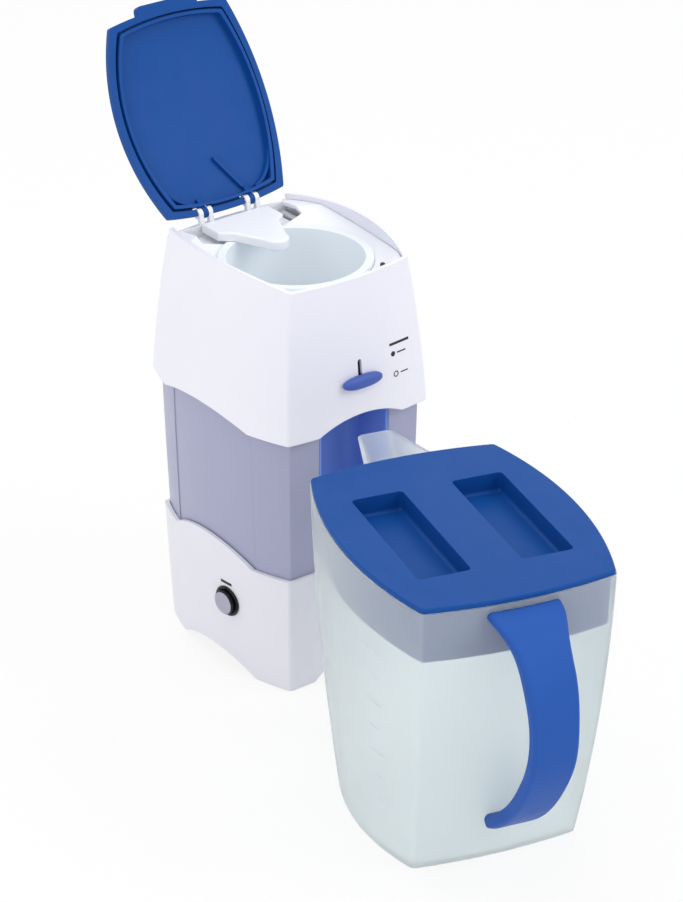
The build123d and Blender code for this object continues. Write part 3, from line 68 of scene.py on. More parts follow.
MM = 0.001

# Points closer than this are one: on a CAD node's faces, and on a printed mark
SEAM = 0.002 * MM
MARK_SEAM = 0.005 * MM

# The band that most of a noise texture's values fall in
NOISE_LOW = 0.3
NOISE_HIGH = 0.7

# The pitcher's own place and turn on the table
PITCHER_X = -41.6 * MM
PITCHER_Y = -220.0 * MM
PITCHER_TURN = radians(-15.6)

# Column of level lines on the pitcher's left wall, near its front edge
LINES_AHEAD = -36.0 * MM
LINES_LOW = 38.0 * MM
LINES_HIGH = 140.0 * MM
# Left of the wall, where the rays that find it start
LINES_START = -95.0 * MM

# Curved ribs inside the lid: side end, bend and hinge end of the right one, in mm (across, away from the hinge)
RIB_POINTS = ((45.4, 30.0, 0.0), (38.5, 11.0, 0.0), (25.0, 6.6, 0.0))
RIB_STATIONS = 20
RIB_CLEAR = 50 * MM     # over the lid's inner face, where the rays that find it start
# Their section in mm, from one foot over the rounded top to the other: (across the rib, above the lid's face)
RIB_SECTION = ((-1.1, -0.4), (-1.1, 2.8), (-0.94, 3.2), (-0.5, 3.4), (0.5, 3.4), (0.94, 3.2), (1.1, 2.8), (1.1, -0.4))

# The knob's pad, from its back edge to the middle of its face: (share of its size, share of its thickness)
PAD_PROFILE = ((0.94, 0.0), (0.985, 0.12), (1.0, 0.3), (0.985, 0.5), (0.94, 0.68), (0.86, 0.8), (0.7, 0.9),
               (0.45, 0.97), (0.2, 0.995))
PAD_CORNERS = 64
PAD_BLUNTNESS = 0.82    # 1 is an ellipse, and less has blunter ends
PAD_ENDS = 0.8          # past this share of its half width the knob is pad only, without its stem

# The start button's face, from its edge inwards: (share of its radius, height in mm), and its middle's height
FACE_PROFILE = ((0.98, -0.05), (0.99, 0.25), (0.93, 0.55), (0.84, 0.6), (0.72, 0.45), (0.5, 0.25), (0.25, 0.14))
FACE_MIDDLE = 0.1 * MM
FACE_CORNERS = 48
FACE_FLATNESS = 0.01 * MM

# Printed marks in mm, right of the front's middle and up: corner, then length and height, or middle
HEADING_BAR = (24.0, 225.2)
STRONG_DOT = (26.6, 219.6)
STRONG_DASH = (30.0, 219.2, 7.0, 0.9)
MILD_RING = (28.3, 206.0)
MILD_DASH = (32.2, 205.6, 6.0, 0.8)
# The mark over the start button, counted towards the front on the left side
START_BAR = (12.5, 63.6, 10.0, 2.0)
RING_LINE = 0.7 * MM
DISC_HOLE = 0.05 * MM   # a disc is a ring with next to no hole
INK_LIFT = 0.02 * MM
# In front of the tower and left of it, where the rays that find a mark's surface start
MARK_START = -0.2

# The camera's place, heading and tilt in radians, and its lens in mm
CAMERA_PLACE = (-1.0749, -1.4514, 1.0757)
CAMERA_YAW = 0.656
CAMERA_PITCH = 0.482
CAMERA_LENS = 127.7

# Light on the object from all round, and how far the floor goes to plain white where it is seen
SKY_STRENGTH = 0.78
FLOOR_WHITENESS = 0.85
FLOOR_RADIUS = 8.0
FLOOR_HEIGHT = -0.2 * MM    # just under the feet
# Lamps, all aimed at one point: name, place, size in metres and power in watts
LIT_POINT = (0.0, -0.1, 0.15)
LAMPS = (
    ("key_lamp", (1.3, -1.9, 1.9), 1.6, 20),
    ("top_lamp", (-0.2, 0.3, 2.4), 1.8, 13),
    ("side_lamp", (-2.2, -0.6, 1.0), 1.8, 8),
)


# ---------------------------------------------------------------------------------------
# Colours and nodes
# ---------------------------------------------------------------------------------------

def linear(code):
    """An sRGB hex colour, such as #EDEDF6, as linear RGB."""
    channels = [int(code[i:i + 2], 16) / 255 for i in (1, 3, 5)]
    return tuple(c / 12.92 if c <= 0.04045 else ((c + 0.055) / 1.055) ** 2.4 for c in channels)


def shade(colour, factor):
    """A colour made lighter or darker by a factor, as RGBA."""
    return tuple(min(c * factor, 1.0) for c in colour[:3]) + (1.0,)


def add_node(tree, kind, values=None, links=None, **settings):
    """Add a node with its settings, its socket values and the links into it."""
    node = tree.nodes.new(kind)
    for name, value in settings.items():
        setattr(node, name, value)
    for socket, value in (values or {}).items():
        node.inputs[socket].default_value = value
    for socket, source in (links or {}).items():
        tree.links.new(source, node.inputs[socket])
    return node


def empty_material(name):
    """A material with nothing in its node tree."""
    material = bpy.data.materials.new(name)
    material.use_nodes = True
    material.node_tree.nodes.clear()
    return material


def noise(tree, place, size_mm, detail):
    """The values of a noise texture with spots of about one size."""
    texture = add_node(tree, "ShaderNodeTexNoise", {"Scale": 1 / (size_mm * MM), "Detail": detail}, {"Vector": place})
    return texture.outputs["Fac"]


def moulded(name, colour, roughness, grain_mm=0.8, grain_depth_mm=0.006, wave_depth_mm=0.04, mottle=0.02,
            edge_mm=0.5, **sockets):
    """Moulded plastic or rubber: faint colour drift, patchy gloss, fine grain, sink waves and softened edges."""
    material = empty_material(name)
    tree = material.node_tree
    place = add_node(tree, "ShaderNodeTexCoord").outputs["Object"]
    tint = add_node(tree, "ShaderNodeMixRGB",
                    {"Color1": shade(colour, 1 - mottle), "Color2": shade(colour, 1 + mottle)},
                    {"Fac": noise(tree, place, 45, 2.0)})
    gloss = add_node(tree, "ShaderNodeMapRange",
                     {"From Min": NOISE_LOW, "From Max": NOISE_HIGH,
                      "To Min": roughness - 0.04, "To Max": roughness + 0.05},
                     {"Value": noise(tree, place, 14, 4.0)})
    soft_edge = add_node(tree, "ShaderNodeBevel", {"Radius": edge_mm * MM}, samples=4)
    sink = add_node(tree, "ShaderNodeBump", {"Strength": 1.0, "Distance": wave_depth_mm * MM},
                    {"Height": noise(tree, place, 28, 1.0), "Normal": soft_edge.outputs["Normal"]})
    # a tool's real grain is about 0.1 mm, too fine to show, so it is drawn coarser
    relief = add_node(tree, "ShaderNodeBump", {"Strength": 1.0, "Distance": grain_depth_mm * MM},
                      {"Height": noise(tree, place, grain_mm, 2.0), "Normal": sink.outputs["Normal"]})
    surface = add_node(tree, "ShaderNodeBsdfPrincipled",
                       {socket.replace("_", " "): value for socket, value in sockets.items()},
                       {"Base Color": tint.outputs["Color"], "Roughness": gloss.outputs["Result"],
                        "Normal": relief.outputs["Normal"]})
    add_node(tree, "ShaderNodeOutputMaterial", links={"Surface": surface.outputs["BSDF"]})
    return material


def drawn_metal(name, colour, roughness, line_mm, along):
    """Bright metal with fine lines from its making, drawn out along one axis."""
    material = empty_material(name)
    tree = material.node_tree
    place = add_node(tree, "ShaderNodeTexCoord").outputs["Object"]
    stretch = [1.0, 1.0, 1.0]
    stretch[along] = 0.04
    lines_place = add_node(tree, "ShaderNodeMapping", {"Scale": stretch}, {"Vector": place})
    lines = noise(tree, lines_place.outputs["Vector"], line_mm, 3.0)
    tint = add_node(tree, "ShaderNodeMixRGB", {"Color1": shade(colour, 0.88), "Color2": shade(colour, 1.06)},
                    {"Fac": lines})
    gloss = add_node(tree, "ShaderNodeMapRange",
                     {"From Min": NOISE_LOW, "From Max": NOISE_HIGH,
                      "To Min": roughness - 0.06, "To Max": roughness + 0.1},
                     {"Value": lines})
    relief = add_node(tree, "ShaderNodeBump", {"Strength": 1.0, "Distance": 0.01 * MM}, {"Height": lines})
    surface = add_node(tree, "ShaderNodeBsdfPrincipled", {"Metallic": 1.0},
                       {"Base Color": tint.outputs["Color"], "Roughness": gloss.outputs["Result"],
                        "Normal": relief.outputs["Normal"]})
    add_node(tree, "ShaderNodeOutputMaterial", links={"Surface": surface.outputs["BSDF"]})
    return material


# ---------------------------------------------------------------------------------------
# Meshes
# ---------------------------------------------------------------------------------------

def add_object(name, data):
    """Put a new object into the scene."""
    thing = bpy.data.objects.new(name, data)
    bpy.context.scene.collection.objects.link(thing)
    return thing


def add_piece(name, mesh, material, body, slot, *stands_for):
    """Put a finished mesh into the scene on its body, with the nodes that it stands for hidden; the slot argument is
    not used.
    """
    piece = add_object(name, mesh)
    piece.data.materials.clear()
    piece.data.materials.append(material)
    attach(piece, body)
    if stands_for:
        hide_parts(*stands_for)
    return piece


def smooth_by_angle(mesh, angle):
    """Shade a mesh smooth, with every edge sharper than the angle kept sharp."""
    work = bmesh.new()
    work.from_mesh(mesh)
    for face in work.faces:
        face.smooth = True
    for edge in work.edges:
        edge.smooth = len(edge.link_faces) == 2 and edge.calc_face_angle(pi) < angle
    work.to_mesh(mesh)
    work.free()


def skin(node, material, slot, angle=30):
    """A merged, smooth-shaded copy of a CAD node, which stands for it."""
    mesh = frame["nodes"][node].data.copy()
    work = bmesh.new()
    work.from_mesh(mesh)
    bmesh.ops.remove_doubles(work, verts=work.verts, dist=SEAM)
    work.to_mesh(mesh)
    work.free()
    smooth_by_angle(mesh, radians(angle))
    body = frame["nodes"][node]["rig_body"]
    piece = add_piece(node + "_skin", mesh, material, body, slot, node)
    keep_flat = piece.modifiers.new("Weighted normals", "WEIGHTED_NORMAL")
    keep_flat.keep_sharp = True
    graph = bpy.context.evaluated_depsgraph_get()
    weighted = bpy.data.meshes.new_from_object(piece.evaluated_get(graph))
    piece.modifiers.remove(keep_flat)
    piece.data = weighted


def coat(node, material):
    """Give a CAD node that keeps its own mesh a material."""
    slots = frame["nodes"][node].data.materials
    slots.clear()
    slots.append(material)


def surface_of(node):
    """A tree for ray casts onto a CAD node."""
    mesh = frame["nodes"][node].data
    points = [vertex.co.copy() for vertex in mesh.vertices]
    return BVHTree.FromPolygons(points, [list(polygon.vertices) for polygon in mesh.polygons])


def laid_on(tree, outlines, start, across, up, lift, thickness):
    """Flat drawings laid on a surface: each face's points are cast from a start plane, lifted and given a thickness."""
    inward = up.cross(across).normalized()
    work = bmesh.new()
    for outline in outlines:
        corners = []
        for u, v in outline:
            hit = tree.ray_cast(start + across * u + up * v, inward)[0]
            if hit is None:
                raise RuntimeError("a printed mark misses its surface")
            corners.append(work.verts.new(hit - inward * lift))
        work.faces.new(corners)
    bmesh.ops.remove_doubles(work, verts=work.verts, dist=MARK_SEAM)
    work.normal_update()
    if sum(face.normal.dot(inward) for face in work.faces) > 0:
        bmesh.ops.reverse_faces(work, faces=work.faces)
    bmesh.ops.solidify(work, geom=work.faces[:], thickness=thickness)
    mesh = bpy.data.meshes.new("mark")
    work.to_mesh(mesh)
    work.free()
    return mesh


def bar(u, v, length, height, pieces=8):
    """A straight printed bar, as quads short enough to follow a bowed face."""
    step = length / pieces
    return [[(u + i * step, v), (u + (i + 1) * step, v), (u + (i + 1) * step, v + height), (u + i * step, v + height)]
            for i in range(pieces)]


def ring(u, v, outer, inner, pieces=24):
    """A printed ring, or a disc where the inner radius is next to nothing."""
    turn = [(cos(2 * pi * i / pieces), sin(2 * pi * i / pieces)) for i in range(pieces + 1)]
    return [[(u + inner * c0, v + inner * s0), (u + outer * c0, v + outer * s0),
             (u + outer * c1, v + outer * s1), (u + inner * c1, v + inner * s1)]
            for (c0, s0), (c1, s1) in zip(turn, turn[1:])]


def in_metres(values):
    """Values in mm as metres."""
    return [value * MM for value in values]


def in_pitcher(across, ahead, height):
    """A point given in the pitcher's own axes, in the shared frame."""
    return Vector((
        PITCHER_X + across * cos(PITCHER_TURN) - ahead * sin(PITCHER_TURN),
        PITCHER_Y + across * sin(PITCHER_TURN) + ahead * cos(PITCHER_TURN),
        height,
    ))


def add_ringed(work, rings, tip=None):
    """Add a closed shape through rings of points: capped at both ends, or drawn to a tip at the last."""
    loops = [[work.verts.new(point) for point in ring_points] for ring_points in rings]
    for low, high in zip(loops, loops[1:]):
        for i in range(len(low)):
            work.faces.new((low[i - 1], low[i], high[i], high[i - 1]))
    work.faces.new(list(reversed(loops[0])))
    if tip is None:
        work.faces.new(loops[-1])
        return
    top = work.verts.new(tip)
    for i in range(len(loops[-1])):
        work.faces.new((loops[-1][i - 1], loops[-1][i], top))


def finished(work, name, angle):
    """A new mesh from a bmesh, with its faces outwards and smooth up to an angle."""
    bmesh.ops.recalc_face_normals(work, faces=work.faces)
    mesh = bpy.data.meshes.new(name)
    work.to_mesh(mesh)
    work.free()
    smooth_by_angle(mesh, angle)
    return mesh


def joint_named(name):
    """A joint of the frame."""
    return next(joint for joint in frame["joints"] if joint["name"] == name)


def blunted(value):
    """A cosine or sine turned into that of an oval with blunter ends and flatter sides than an ellipse."""
    return copysign(abs(value) ** PAD_BLUNTNESS, value)


def knob_pad(sizes):
    """The strength knob: a low oval pad with a rounded edge and a crowned face."""
    up = Vector(joint_named("strength_slide")["axis"]).normalized()
    across = Vector((1, 0, 0))
    outward = up.cross(across).normalized()
    if outward.y > 0:
        outward = -outward
    points = [vertex.co for vertex in frame["nodes"]["strength_knob"].data.vertices]
    half_width = max(abs(point.x) for point in points)
    ends = [point for point in points if abs(point.x) > PAD_ENDS * half_width]
    heights = [point.dot(up) for point in ends]
    middle = up * ((max(heights) + min(heights)) / 2)
    back = min(point.dot(outward) for point in ends)
    front = max(point.dot(outward) for point in points)
    turns = [2 * pi * i / PAD_CORNERS for i in range(PAD_CORNERS)]
    rings = []
    for share, rise in PAD_PROFILE:
        plane = middle + outward * (back + rise * (front - back))
        rings.append([plane + across * half_width * share * blunted(cos(turn))
                      + up * sizes.knob_height / 2 * share * blunted(sin(turn)) for turn in turns])
    work = bmesh.new()
    add_ringed(work, rings, middle + outward * front)
    return finished(work, "knob_pad", radians(50))


def button_face():
    """A thin disc with a rounded edge and a shallow dish, on the start button's outer face."""
    outward = -Vector(joint_named("start_press")["axis"]).normalized()
    points = [vertex.co for vertex in frame["nodes"]["start_button"].data.vertices]
    front = max(point.dot(outward) for point in points)
    rim = [point for point in points if point.dot(outward) > front - FACE_FLATNESS]
    centre = sum(rim, Vector()) / len(rim)
    radius = max((point - centre).length for point in rim)
    across = outward.orthogonal().normalized()
    up = outward.cross(across)
    turns = [2 * pi * i / FACE_CORNERS for i in range(FACE_CORNERS)]
    rings = [[centre + outward * height * MM + (across * cos(turn) + up * sin(turn)) * radius * share
              for turn in turns] for share, height in FACE_PROFILE]
    work = bmesh.new()
    add_ringed(work, rings, centre + outward * FACE_MIDDLE)
    return finished(work, "button_face", radians(40))


def corner_ribs():
    """Two curved ribs inside the lid, which cut off the corners of its ring at the hinge."""
    hinge = joint_named("lid_hinge")
    pivot = Vector(hinge["pos_m"])
    # the lid's own directions, as it stands open: away from the hinge, and down into the tower when it is shut
    opened = Matrix.Rotation(radians(-hinge["range_deg"][0]), 3, Vector(hinge["axis"]))
    ahead = opened @ Vector((0, -1, 0))
    under = opened @ Vector((0, 0, -1))
    across = Vector((1, 0, 0))
    inner_side = surface_of("lid")
    side_end, bend, hinge_end = (Vector(point) * MM for point in RIB_POINTS)
    work = bmesh.new()
    for side in (-1, 1):
        rings = []
        for i in range(RIB_STATIONS + 1):
            t = i / RIB_STATIONS
            place = side_end * (1 - t) ** 2 + bend * 2 * t * (1 - t) + hinge_end * t * t
            course = ((bend - side_end) * (1 - t) + (hinge_end - bend) * t).normalized()
            # the lid's inner face on its middle line, at this distance from the hinge
            above = pivot + ahead * place.y + under * RIB_CLEAR
            foot = (inner_side.ray_cast(above, -under)[0] - pivot).dot(under)
            rings.append([
                pivot + across * (place.x - course.y * offset * MM) * side
                + ahead * (place.y + course.x * offset * MM) + under * (foot + height * MM)
                for offset, height in RIB_SECTION])
        add_ringed(work, rings)
    return finished(work, "lid_corner_ribs", radians(50))


def level_lines_tree(wall, material):
    """A node tree that lays a column of raised level lines on a wall, every second one shorter."""
    tree = bpy.data.node_groups.new("level_lines", "GeometryNodeTree")
    tree.interface.new_socket("Geometry", in_out="INPUT", socket_type="NodeSocketGeometry")
    sockets = {
        "Lines": "NodeSocketInt", "First": "NodeSocketVector", "Step": "NodeSocketVector",
        "Half line": "NodeSocketVector", "Inward": "NodeSocketVector", "Bead": "NodeSocketFloat",
    }
    for name, kind in sockets.items():
        tree.interface.new_socket(name, in_out="INPUT", socket_type=kind)
    tree.interface.new_socket("Geometry", in_out="OUTPUT", socket_type="NodeSocketGeometry")
    given = add_node(tree, "NodeGroupInput").outputs
    column = add_node(tree, "GeometryNodeMeshLine", links={
        "Count": given["Lines"], "Start Location": given["First"], "Offset": given["Step"]})
    start = add_node(tree, "ShaderNodeVectorMath", {1: (-1.0, -1.0, -1.0)}, {0: given["Half line"]},
                     operation="MULTIPLY")
    line = add_node(tree, "GeometryNodeCurvePrimitiveLine", links={
        "Start": start.outputs["Vector"], "End": given["Half line"]})
    fine = add_node(tree, "GeometryNodeResampleCurve", {"Count": 13}, {"Curve": line.outputs["Curve"]})
    # every second line is shorter
    turn = add_node(tree, "ShaderNodeMath", {1: 2.0}, {0: add_node(tree, "GeometryNodeInputIndex").outputs["Index"]},
                    operation="MODULO")
    size = add_node(tree, "ShaderNodeMapRange", {"To Min": 1.0, "To Max": 0.6}, {"Value": turn.outputs["Value"]})
    placed = add_node(tree, "GeometryNodeInstanceOnPoints", links={
        "Points": column.outputs["Mesh"], "Instance": fine.outputs["Curve"], "Scale": size.outputs["Result"]})
    loose = add_node(tree, "GeometryNodeRealizeInstances", links={"Geometry": placed.outputs["Instances"]})
    # the points are cast onto the wall, and the beads are swept along them, half sunk
    body = add_node(tree, "GeometryNodeObjectInfo", {"Object": wall})
    cast = add_node(tree, "GeometryNodeRaycast", {"Ray Length": 0.1}, {
        "Target Geometry": body.outputs["Geometry"], "Ray Direction": given["Inward"]})
    seated = add_node(tree, "GeometryNodeSetPosition", links={
        "Geometry": loose.outputs["Geometry"], "Position": cast.outputs["Hit Position"]})
    bead = add_node(tree, "GeometryNodeCurvePrimitiveCircle", {"Resolution": 10}, {"Radius": given["Bead"]})
    swept = add_node(tree, "GeometryNodeCurveToMesh", {"Fill Caps": True}, {
        "Curve": seated.outputs["Geometry"], "Profile Curve": bead.outputs["Curve"]})
    whole = add_node(tree, "GeometryNodeRealizeInstances", links={"Geometry": swept.outputs["Mesh"]})
    coloured = add_node(tree, "GeometryNodeSetMaterial", {"Material": material},
                        {"Geometry": whole.outputs["Geometry"]})
    add_node(tree, "NodeGroupOutput", links={"Geometry": coloured.outputs["Geometry"]})
    return tree


def level_lines(sizes, material):
    """The raised level lines on the pitcher's left wall, as a mesh."""
    tree = level_lines_tree(frame["nodes"]["pitcher_body"], material)
    first = in_pitcher(LINES_START, LINES_AHEAD, LINES_LOW)
    step = (LINES_HIGH - LINES_LOW) / (sizes.line_count - 1)
    half = in_pitcher(0, sizes.line_length / 2, 0) - in_pitcher(0, 0, 0)
    inward = in_pitcher(1, 0, 0) - in_pitcher(0, 0, 0)
    values = {"Lines": sizes.line_count, "First": first, "Step": (0.0, 0.0, step), "Half line": half,
              "Inward": inward, "Bead": sizes.line_radius}
    holder = add_object("level_lines_maker", bpy.data.meshes.new("level_lines_maker"))
    modifier = holder.modifiers.new("Level lines", "NODES")
    modifier.node_group = tree
    for socket in tree.interface.items_tree:
        if socket.in_out == "INPUT" and socket.name in values:
            modifier[socket.identifier] = values[socket.name]
    graph = bpy.context.evaluated_depsgraph_get()
    mesh = bpy.data.meshes.new_from_object(holder.evaluated_get(graph))
    bpy.data.objects.remove(holder)
    if not mesh.polygons:
        raise RuntimeError("the level lines are empty")
    smooth_by_angle(mesh, radians(50))
    return mesh


# ---------------------------------------------------------------------------------------
# Sizes and colours that a user would change
# ---------------------------------------------------------------------------------------

def colour_property(name, description, code):
    """A colour property whose default is an sRGB hex colour."""
    return bpy.props.FloatVectorProperty(
        name=name, description=description, subtype="COLOR", size=3, min=0.0, max=1.0, default=linear(code))


class TeaMakerFinish(bpy.types.PropertyGroup):
    """Colours of the iced tea maker's mouldings."""

    housing: colour_property("Housing", "White ABS of the upper housing", "#EEEEF7")
    base: colour_property("Base", "White ABS of the base", "#E6E6EE")
    deck: colour_property("Deck", "White polypropylene of the deck and the water arm", "#F0F2F8")
    tank: colour_property("Tank", "Smoke tint of the water tank", "#BFC1DE")
    basket: colour_property("Basket", "Frosted polypropylene of the brew basket", "#EEF4F9")
    lid: colour_property("Lids", "Blue polypropylene of both lids", "#0F4A95")
    grip: colour_property("Grip", "Blue of the handle", "#2B58AA")
    knob: colour_property("Knob", "Violet blue of the knob", "#465FB0")
    # The dock's colour is painted light: far lighter than its blue, to make up for the shade in the dock's recess
    dock: colour_property("Dock", "Light violet blue of the dock's liner", "#7292DE")
    pitcher: colour_property("Pitcher", "Frosted polypropylene of the pitcher", "#F7FDFF")
    button: colour_property("Button", "Silver paint of the button's face", "#A9A8BA")
    ink: colour_property("Ink", "Black of the printed marks", "#15151A")


class TeaMakerMarks(bpy.types.PropertyGroup):
    """Sizes of the printed and raised marks and of the knob's pad."""

    bar_length: bpy.props.FloatProperty(
        name="Bar length", description="Length of the bold bar over the strength marks",
        default=16.0 * MM, min=0.0, unit="LENGTH")
    bar_height: bpy.props.FloatProperty(
        name="Bar height", description="Height of the bold bar", default=1.7 * MM, min=0.0, unit="LENGTH")
    dot_radius: bpy.props.FloatProperty(
        name="Dot radius", description="Radius of the filled strong mark", default=1.7 * MM, min=0.0, unit="LENGTH")
    ring_radius: bpy.props.FloatProperty(
        name="Ring radius", description="Outer radius of the open mild mark",
        default=2.0 * MM, min=0.0, unit="LENGTH")
    knob_height: bpy.props.FloatProperty(
        name="Knob height", description="Height of the strength knob's oval pad",
        default=8.2 * MM, min=0.0, unit="LENGTH")
    print_thickness: bpy.props.FloatProperty(
        name="Print thickness", description="Thickness of the printed ink",
        default=0.06 * MM, min=0.0, unit="LENGTH")
    line_count: bpy.props.IntProperty(
        name="Graduations", description="Raised level lines on the pitcher's left side", default=7, min=2)
    line_length: bpy.props.FloatProperty(
        name="Graduation length", description="Length of a long level line; every second one is shorter",
        default=16.0 * MM, min=0.0, unit="LENGTH")
    line_radius: bpy.props.FloatProperty(
        name="Graduation radius", description="Half the width of a level line's bead",
        default=0.4 * MM, min=0.0, unit="LENGTH")


# ---------------------------------------------------------------------------------------
# Finishes of the pieces
# ---------------------------------------------------------------------------------------

class TEAMAKER_OT_shells(bpy.types.Operator):
    """Finish the tower's white shells and the deck"""

    bl_idname = "teamaker.shells"
    bl_label = "Shells and deck"

    def execute(self, context):
        finish = context.scene.tea_maker_finish
        # Injection-moulded ABS, polished tool: bright white with a cool cast and a soft, slightly rippled gloss
        housing = moulded("moulded_abs_white", finish.housing, 0.33, IOR=1.5)
        base = moulded("moulded_abs_white_base", finish.base, 0.36, IOR=1.5)
        # Polypropylene that takes hot water: a touch waxier than the ABS outside
        deck = moulded("moulded_polypropylene_white", finish.deck, 0.4, grain_mm=1.0, IOR=1.49,
                       Subsurface_Weight=0.08, Subsurface_Radius=(0.004, 0.004, 0.004))
        skin("upper_housing", housing, "housing_white")
        skin("base_shell", base, "base_white")
        skin("brew_deck", deck, "deck_white")
        skin("brew_well", deck, "deck_white")
        skin("water_arm", deck, "deck_white")
        skin("riser_block", deck, "deck_white")
        skin("drip_outlet", deck, "deck_white")
        coat("tank_shelf", base)
        coat("bottom_plate", base)
        return {"FINISHED"}


class TEAMAKER_OT_tank(bpy.types.Operator):
    """Finish the water tank and the basket"""

    bl_idname = "teamaker.tank"
    bl_label = "Tank and basket"

    def execute(self, context):
        finish = context.scene.tea_maker_finish
        # SAN with a smoke tint: lets blurred light through, so what stands behind it shows as soft shade
        smoke = moulded("moulded_san_smoke_tint", finish.tank, 0.34, mottle=0.03, IOR=1.35,
                        Transmission_Weight=0.3)
        # Natural polypropylene: frosted, paler at the rim and faintly blue in its shade
        frosted = moulded("moulded_polypropylene_frosted", finish.basket, 0.42, mottle=0.03, IOR=1.4,
                          Subsurface_Weight=0.1, Subsurface_Radius=(0.004, 0.005, 0.006))
        skin("reservoir_tank", smoke, "tank_tinted")
        skin("brew_basket", frosted, "basket_clear")
        skin("basket_drain", frosted, "basket_clear")
        return {"FINISHED"}


class TEAMAKER_OT_blue(bpy.types.Operator):
    """Finish the blue lids, dock, handle and knob"""

    bl_idname = "teamaker.blue"
    bl_label = "Blue mouldings"

    def execute(self, context):
        finish = context.scene.tea_maker_finish
        # Mass-coloured polypropylene: deep even blue with a low, broad sheen and faint flow marks
        blue = moulded("moulded_polypropylene_blue", finish.lid, 0.42, wave_depth_mm=0.06, mottle=0.04, IOR=1.49,
                       Specular_IOR_Level=0.14)
        # The same blue with a fine matt texture where a hand holds it
        grip = moulded("textured_polypropylene_blue", finish.grip, 0.46, grain_mm=0.9, grain_depth_mm=0.015,
                       mottle=0.04, edge_mm=1.2, IOR=1.49, Specular_IOR_Level=0.09)
        # A lighter, more violet mix of it in the knob, and the same violet blue in the dock's thin liner, drawn much
        # lighter there as painted light against the shade in the dock's recess
        violet = moulded("moulded_polypropylene_violet_blue", finish.knob, 0.4, mottle=0.04, IOR=1.49,
                         Specular_IOR_Level=0.3)
        liner_painted_light = moulded("moulded_polypropylene_liner_blue_painted_light", finish.dock, 0.4, mottle=0.04, IOR=1.49,
                        Specular_IOR_Level=0.3)
        skin("lid", blue, "blue_gloss")
        add_piece("lid_corner_ribs", corner_ribs(), blue, "lid", "blue_gloss")
        skin("pitcher_lid", blue, "blue_gloss")
        skin("dock_panel", liner_painted_light, "blue_gloss")
        skin("pitcher_handle", grip, "blue_grip")
        add_piece("knob_pad", knob_pad(context.scene.tea_maker_marks), violet, "strength_selector", "blue_grip",
                  "strength_knob")
        return {"FINISHED"}


class TEAMAKER_OT_pitcher(bpy.types.Operator):
    """Finish the pitcher's body"""

    bl_idname = "teamaker.pitcher"
    bl_label = "Pitcher body"

    def execute(self, context):
        finish = context.scene.tea_maker_finish
        # Natural polypropylene, 2 mm thick: milky, lets the lid's skirt and the handle show as blurred shapes
        milky = moulded("moulded_polypropylene_milky", finish.pitcher, 0.42, mottle=0.02, edge_mm=0.8, IOR=1.2,
                        Transmission_Weight=0.8)
        skin("pitcher_body", milky, "pitcher_clear")
        # Raised lines hold twice the plastic, so they look whiter than the wall
        whiter = moulded("moulded_polypropylene_raised_lines", linear("#F2F7FA"), 0.45, edge_mm=0.2, IOR=1.3,
                         Transmission_Weight=0.2)
        lines = level_lines(context.scene.tea_maker_marks, whiter)
        add_piece("level_lines", lines, whiter, "pitcher", "pitcher_clear")
        return {"FINISHED"}


class TEAMAKER_OT_works(bpy.types.Operator):
    """Finish the controls and the parts inside the base"""

    bl_idname = "teamaker.works"
    bl_label = "Controls and works"

    def execute(self, context):
        # Black ABS with a tool polish: dark, with one sharp highlight
        black = moulded("moulded_abs_black", linear("#0C0C12"), 0.22, IOR=1.5, Specular_IOR_Level=0.25)
        # Silver paint over ABS: a soft metallic lavender grey
        silver = moulded("silver_painted_abs", context.scene.tea_maker_finish.button, 0.3, grain_mm=0.5, edge_mm=0.3,
                         Metallic=0.5)
        # Moulded nitrile rubber: charcoal, dull, and faintly dusty
        rubber = moulded("moulded_rubber_charcoal", linear("#34343A"), 0.75, grain_mm=1.2, grain_depth_mm=0.02)
        # Extruded silicone hose: milky, soft sheen
        silicone = moulded("extruded_silicone_natural", linear("#D9D8D2"), 0.5, Transmission_Weight=0.2)
        # Extruded polypropylene tube: whiter and glossier than the hose
        tube = moulded("extruded_polypropylene_tube", linear("#E6E8EC"), 0.35, Transmission_Weight=0.15)
        # Phenolic resin of thermostats: dead black and slightly brown
        phenolic = moulded("moulded_phenolic_black", linear("#221F1E"), 0.6)
        # Die-cast aluminium: light grey, granular, with no polish
        cast = drawn_metal("die_cast_aluminium", linear("#C2C4C7"), 0.5, 1.5, 1)
        # Zinc-plated steel: brighter and bluer, with fine drawing lines
        zinc = drawn_metal("zinc_plated_steel", linear("#C9CCD1"), 0.3, 0.4, 0)
        for node in ("button_bezel", "selector_slider", "flow_gate", "start_switch", "cord_gland", "start_button"):
            skin(node, black, "black_plastic")
        add_piece("button_face", button_face(), silver, "start_button", "black_plastic")
        for node in ("rubber_feet", "riser_grommet", "lid_bumper"):
            coat(node, rubber)
        for node in ("inlet_hose", "riser_hose"):
            coat(node, silicone)
        for node in ("riser_tube", "check_valve"):
            coat(node, tube)
        for node in ("thermostat", "thermal_fuses"):
            coat(node, phenolic)
        for node in ("heater_block", "heater_bend"):
            coat(node, cast)
        for node in ("plate_screws", "hinge_pins", "hose_clamps", "heater_bracket", "heater_element"):
            coat(node, zinc)
        return {"FINISHED"}


# ---------------------------------------------------------------------------------------
# Marks
# ---------------------------------------------------------------------------------------

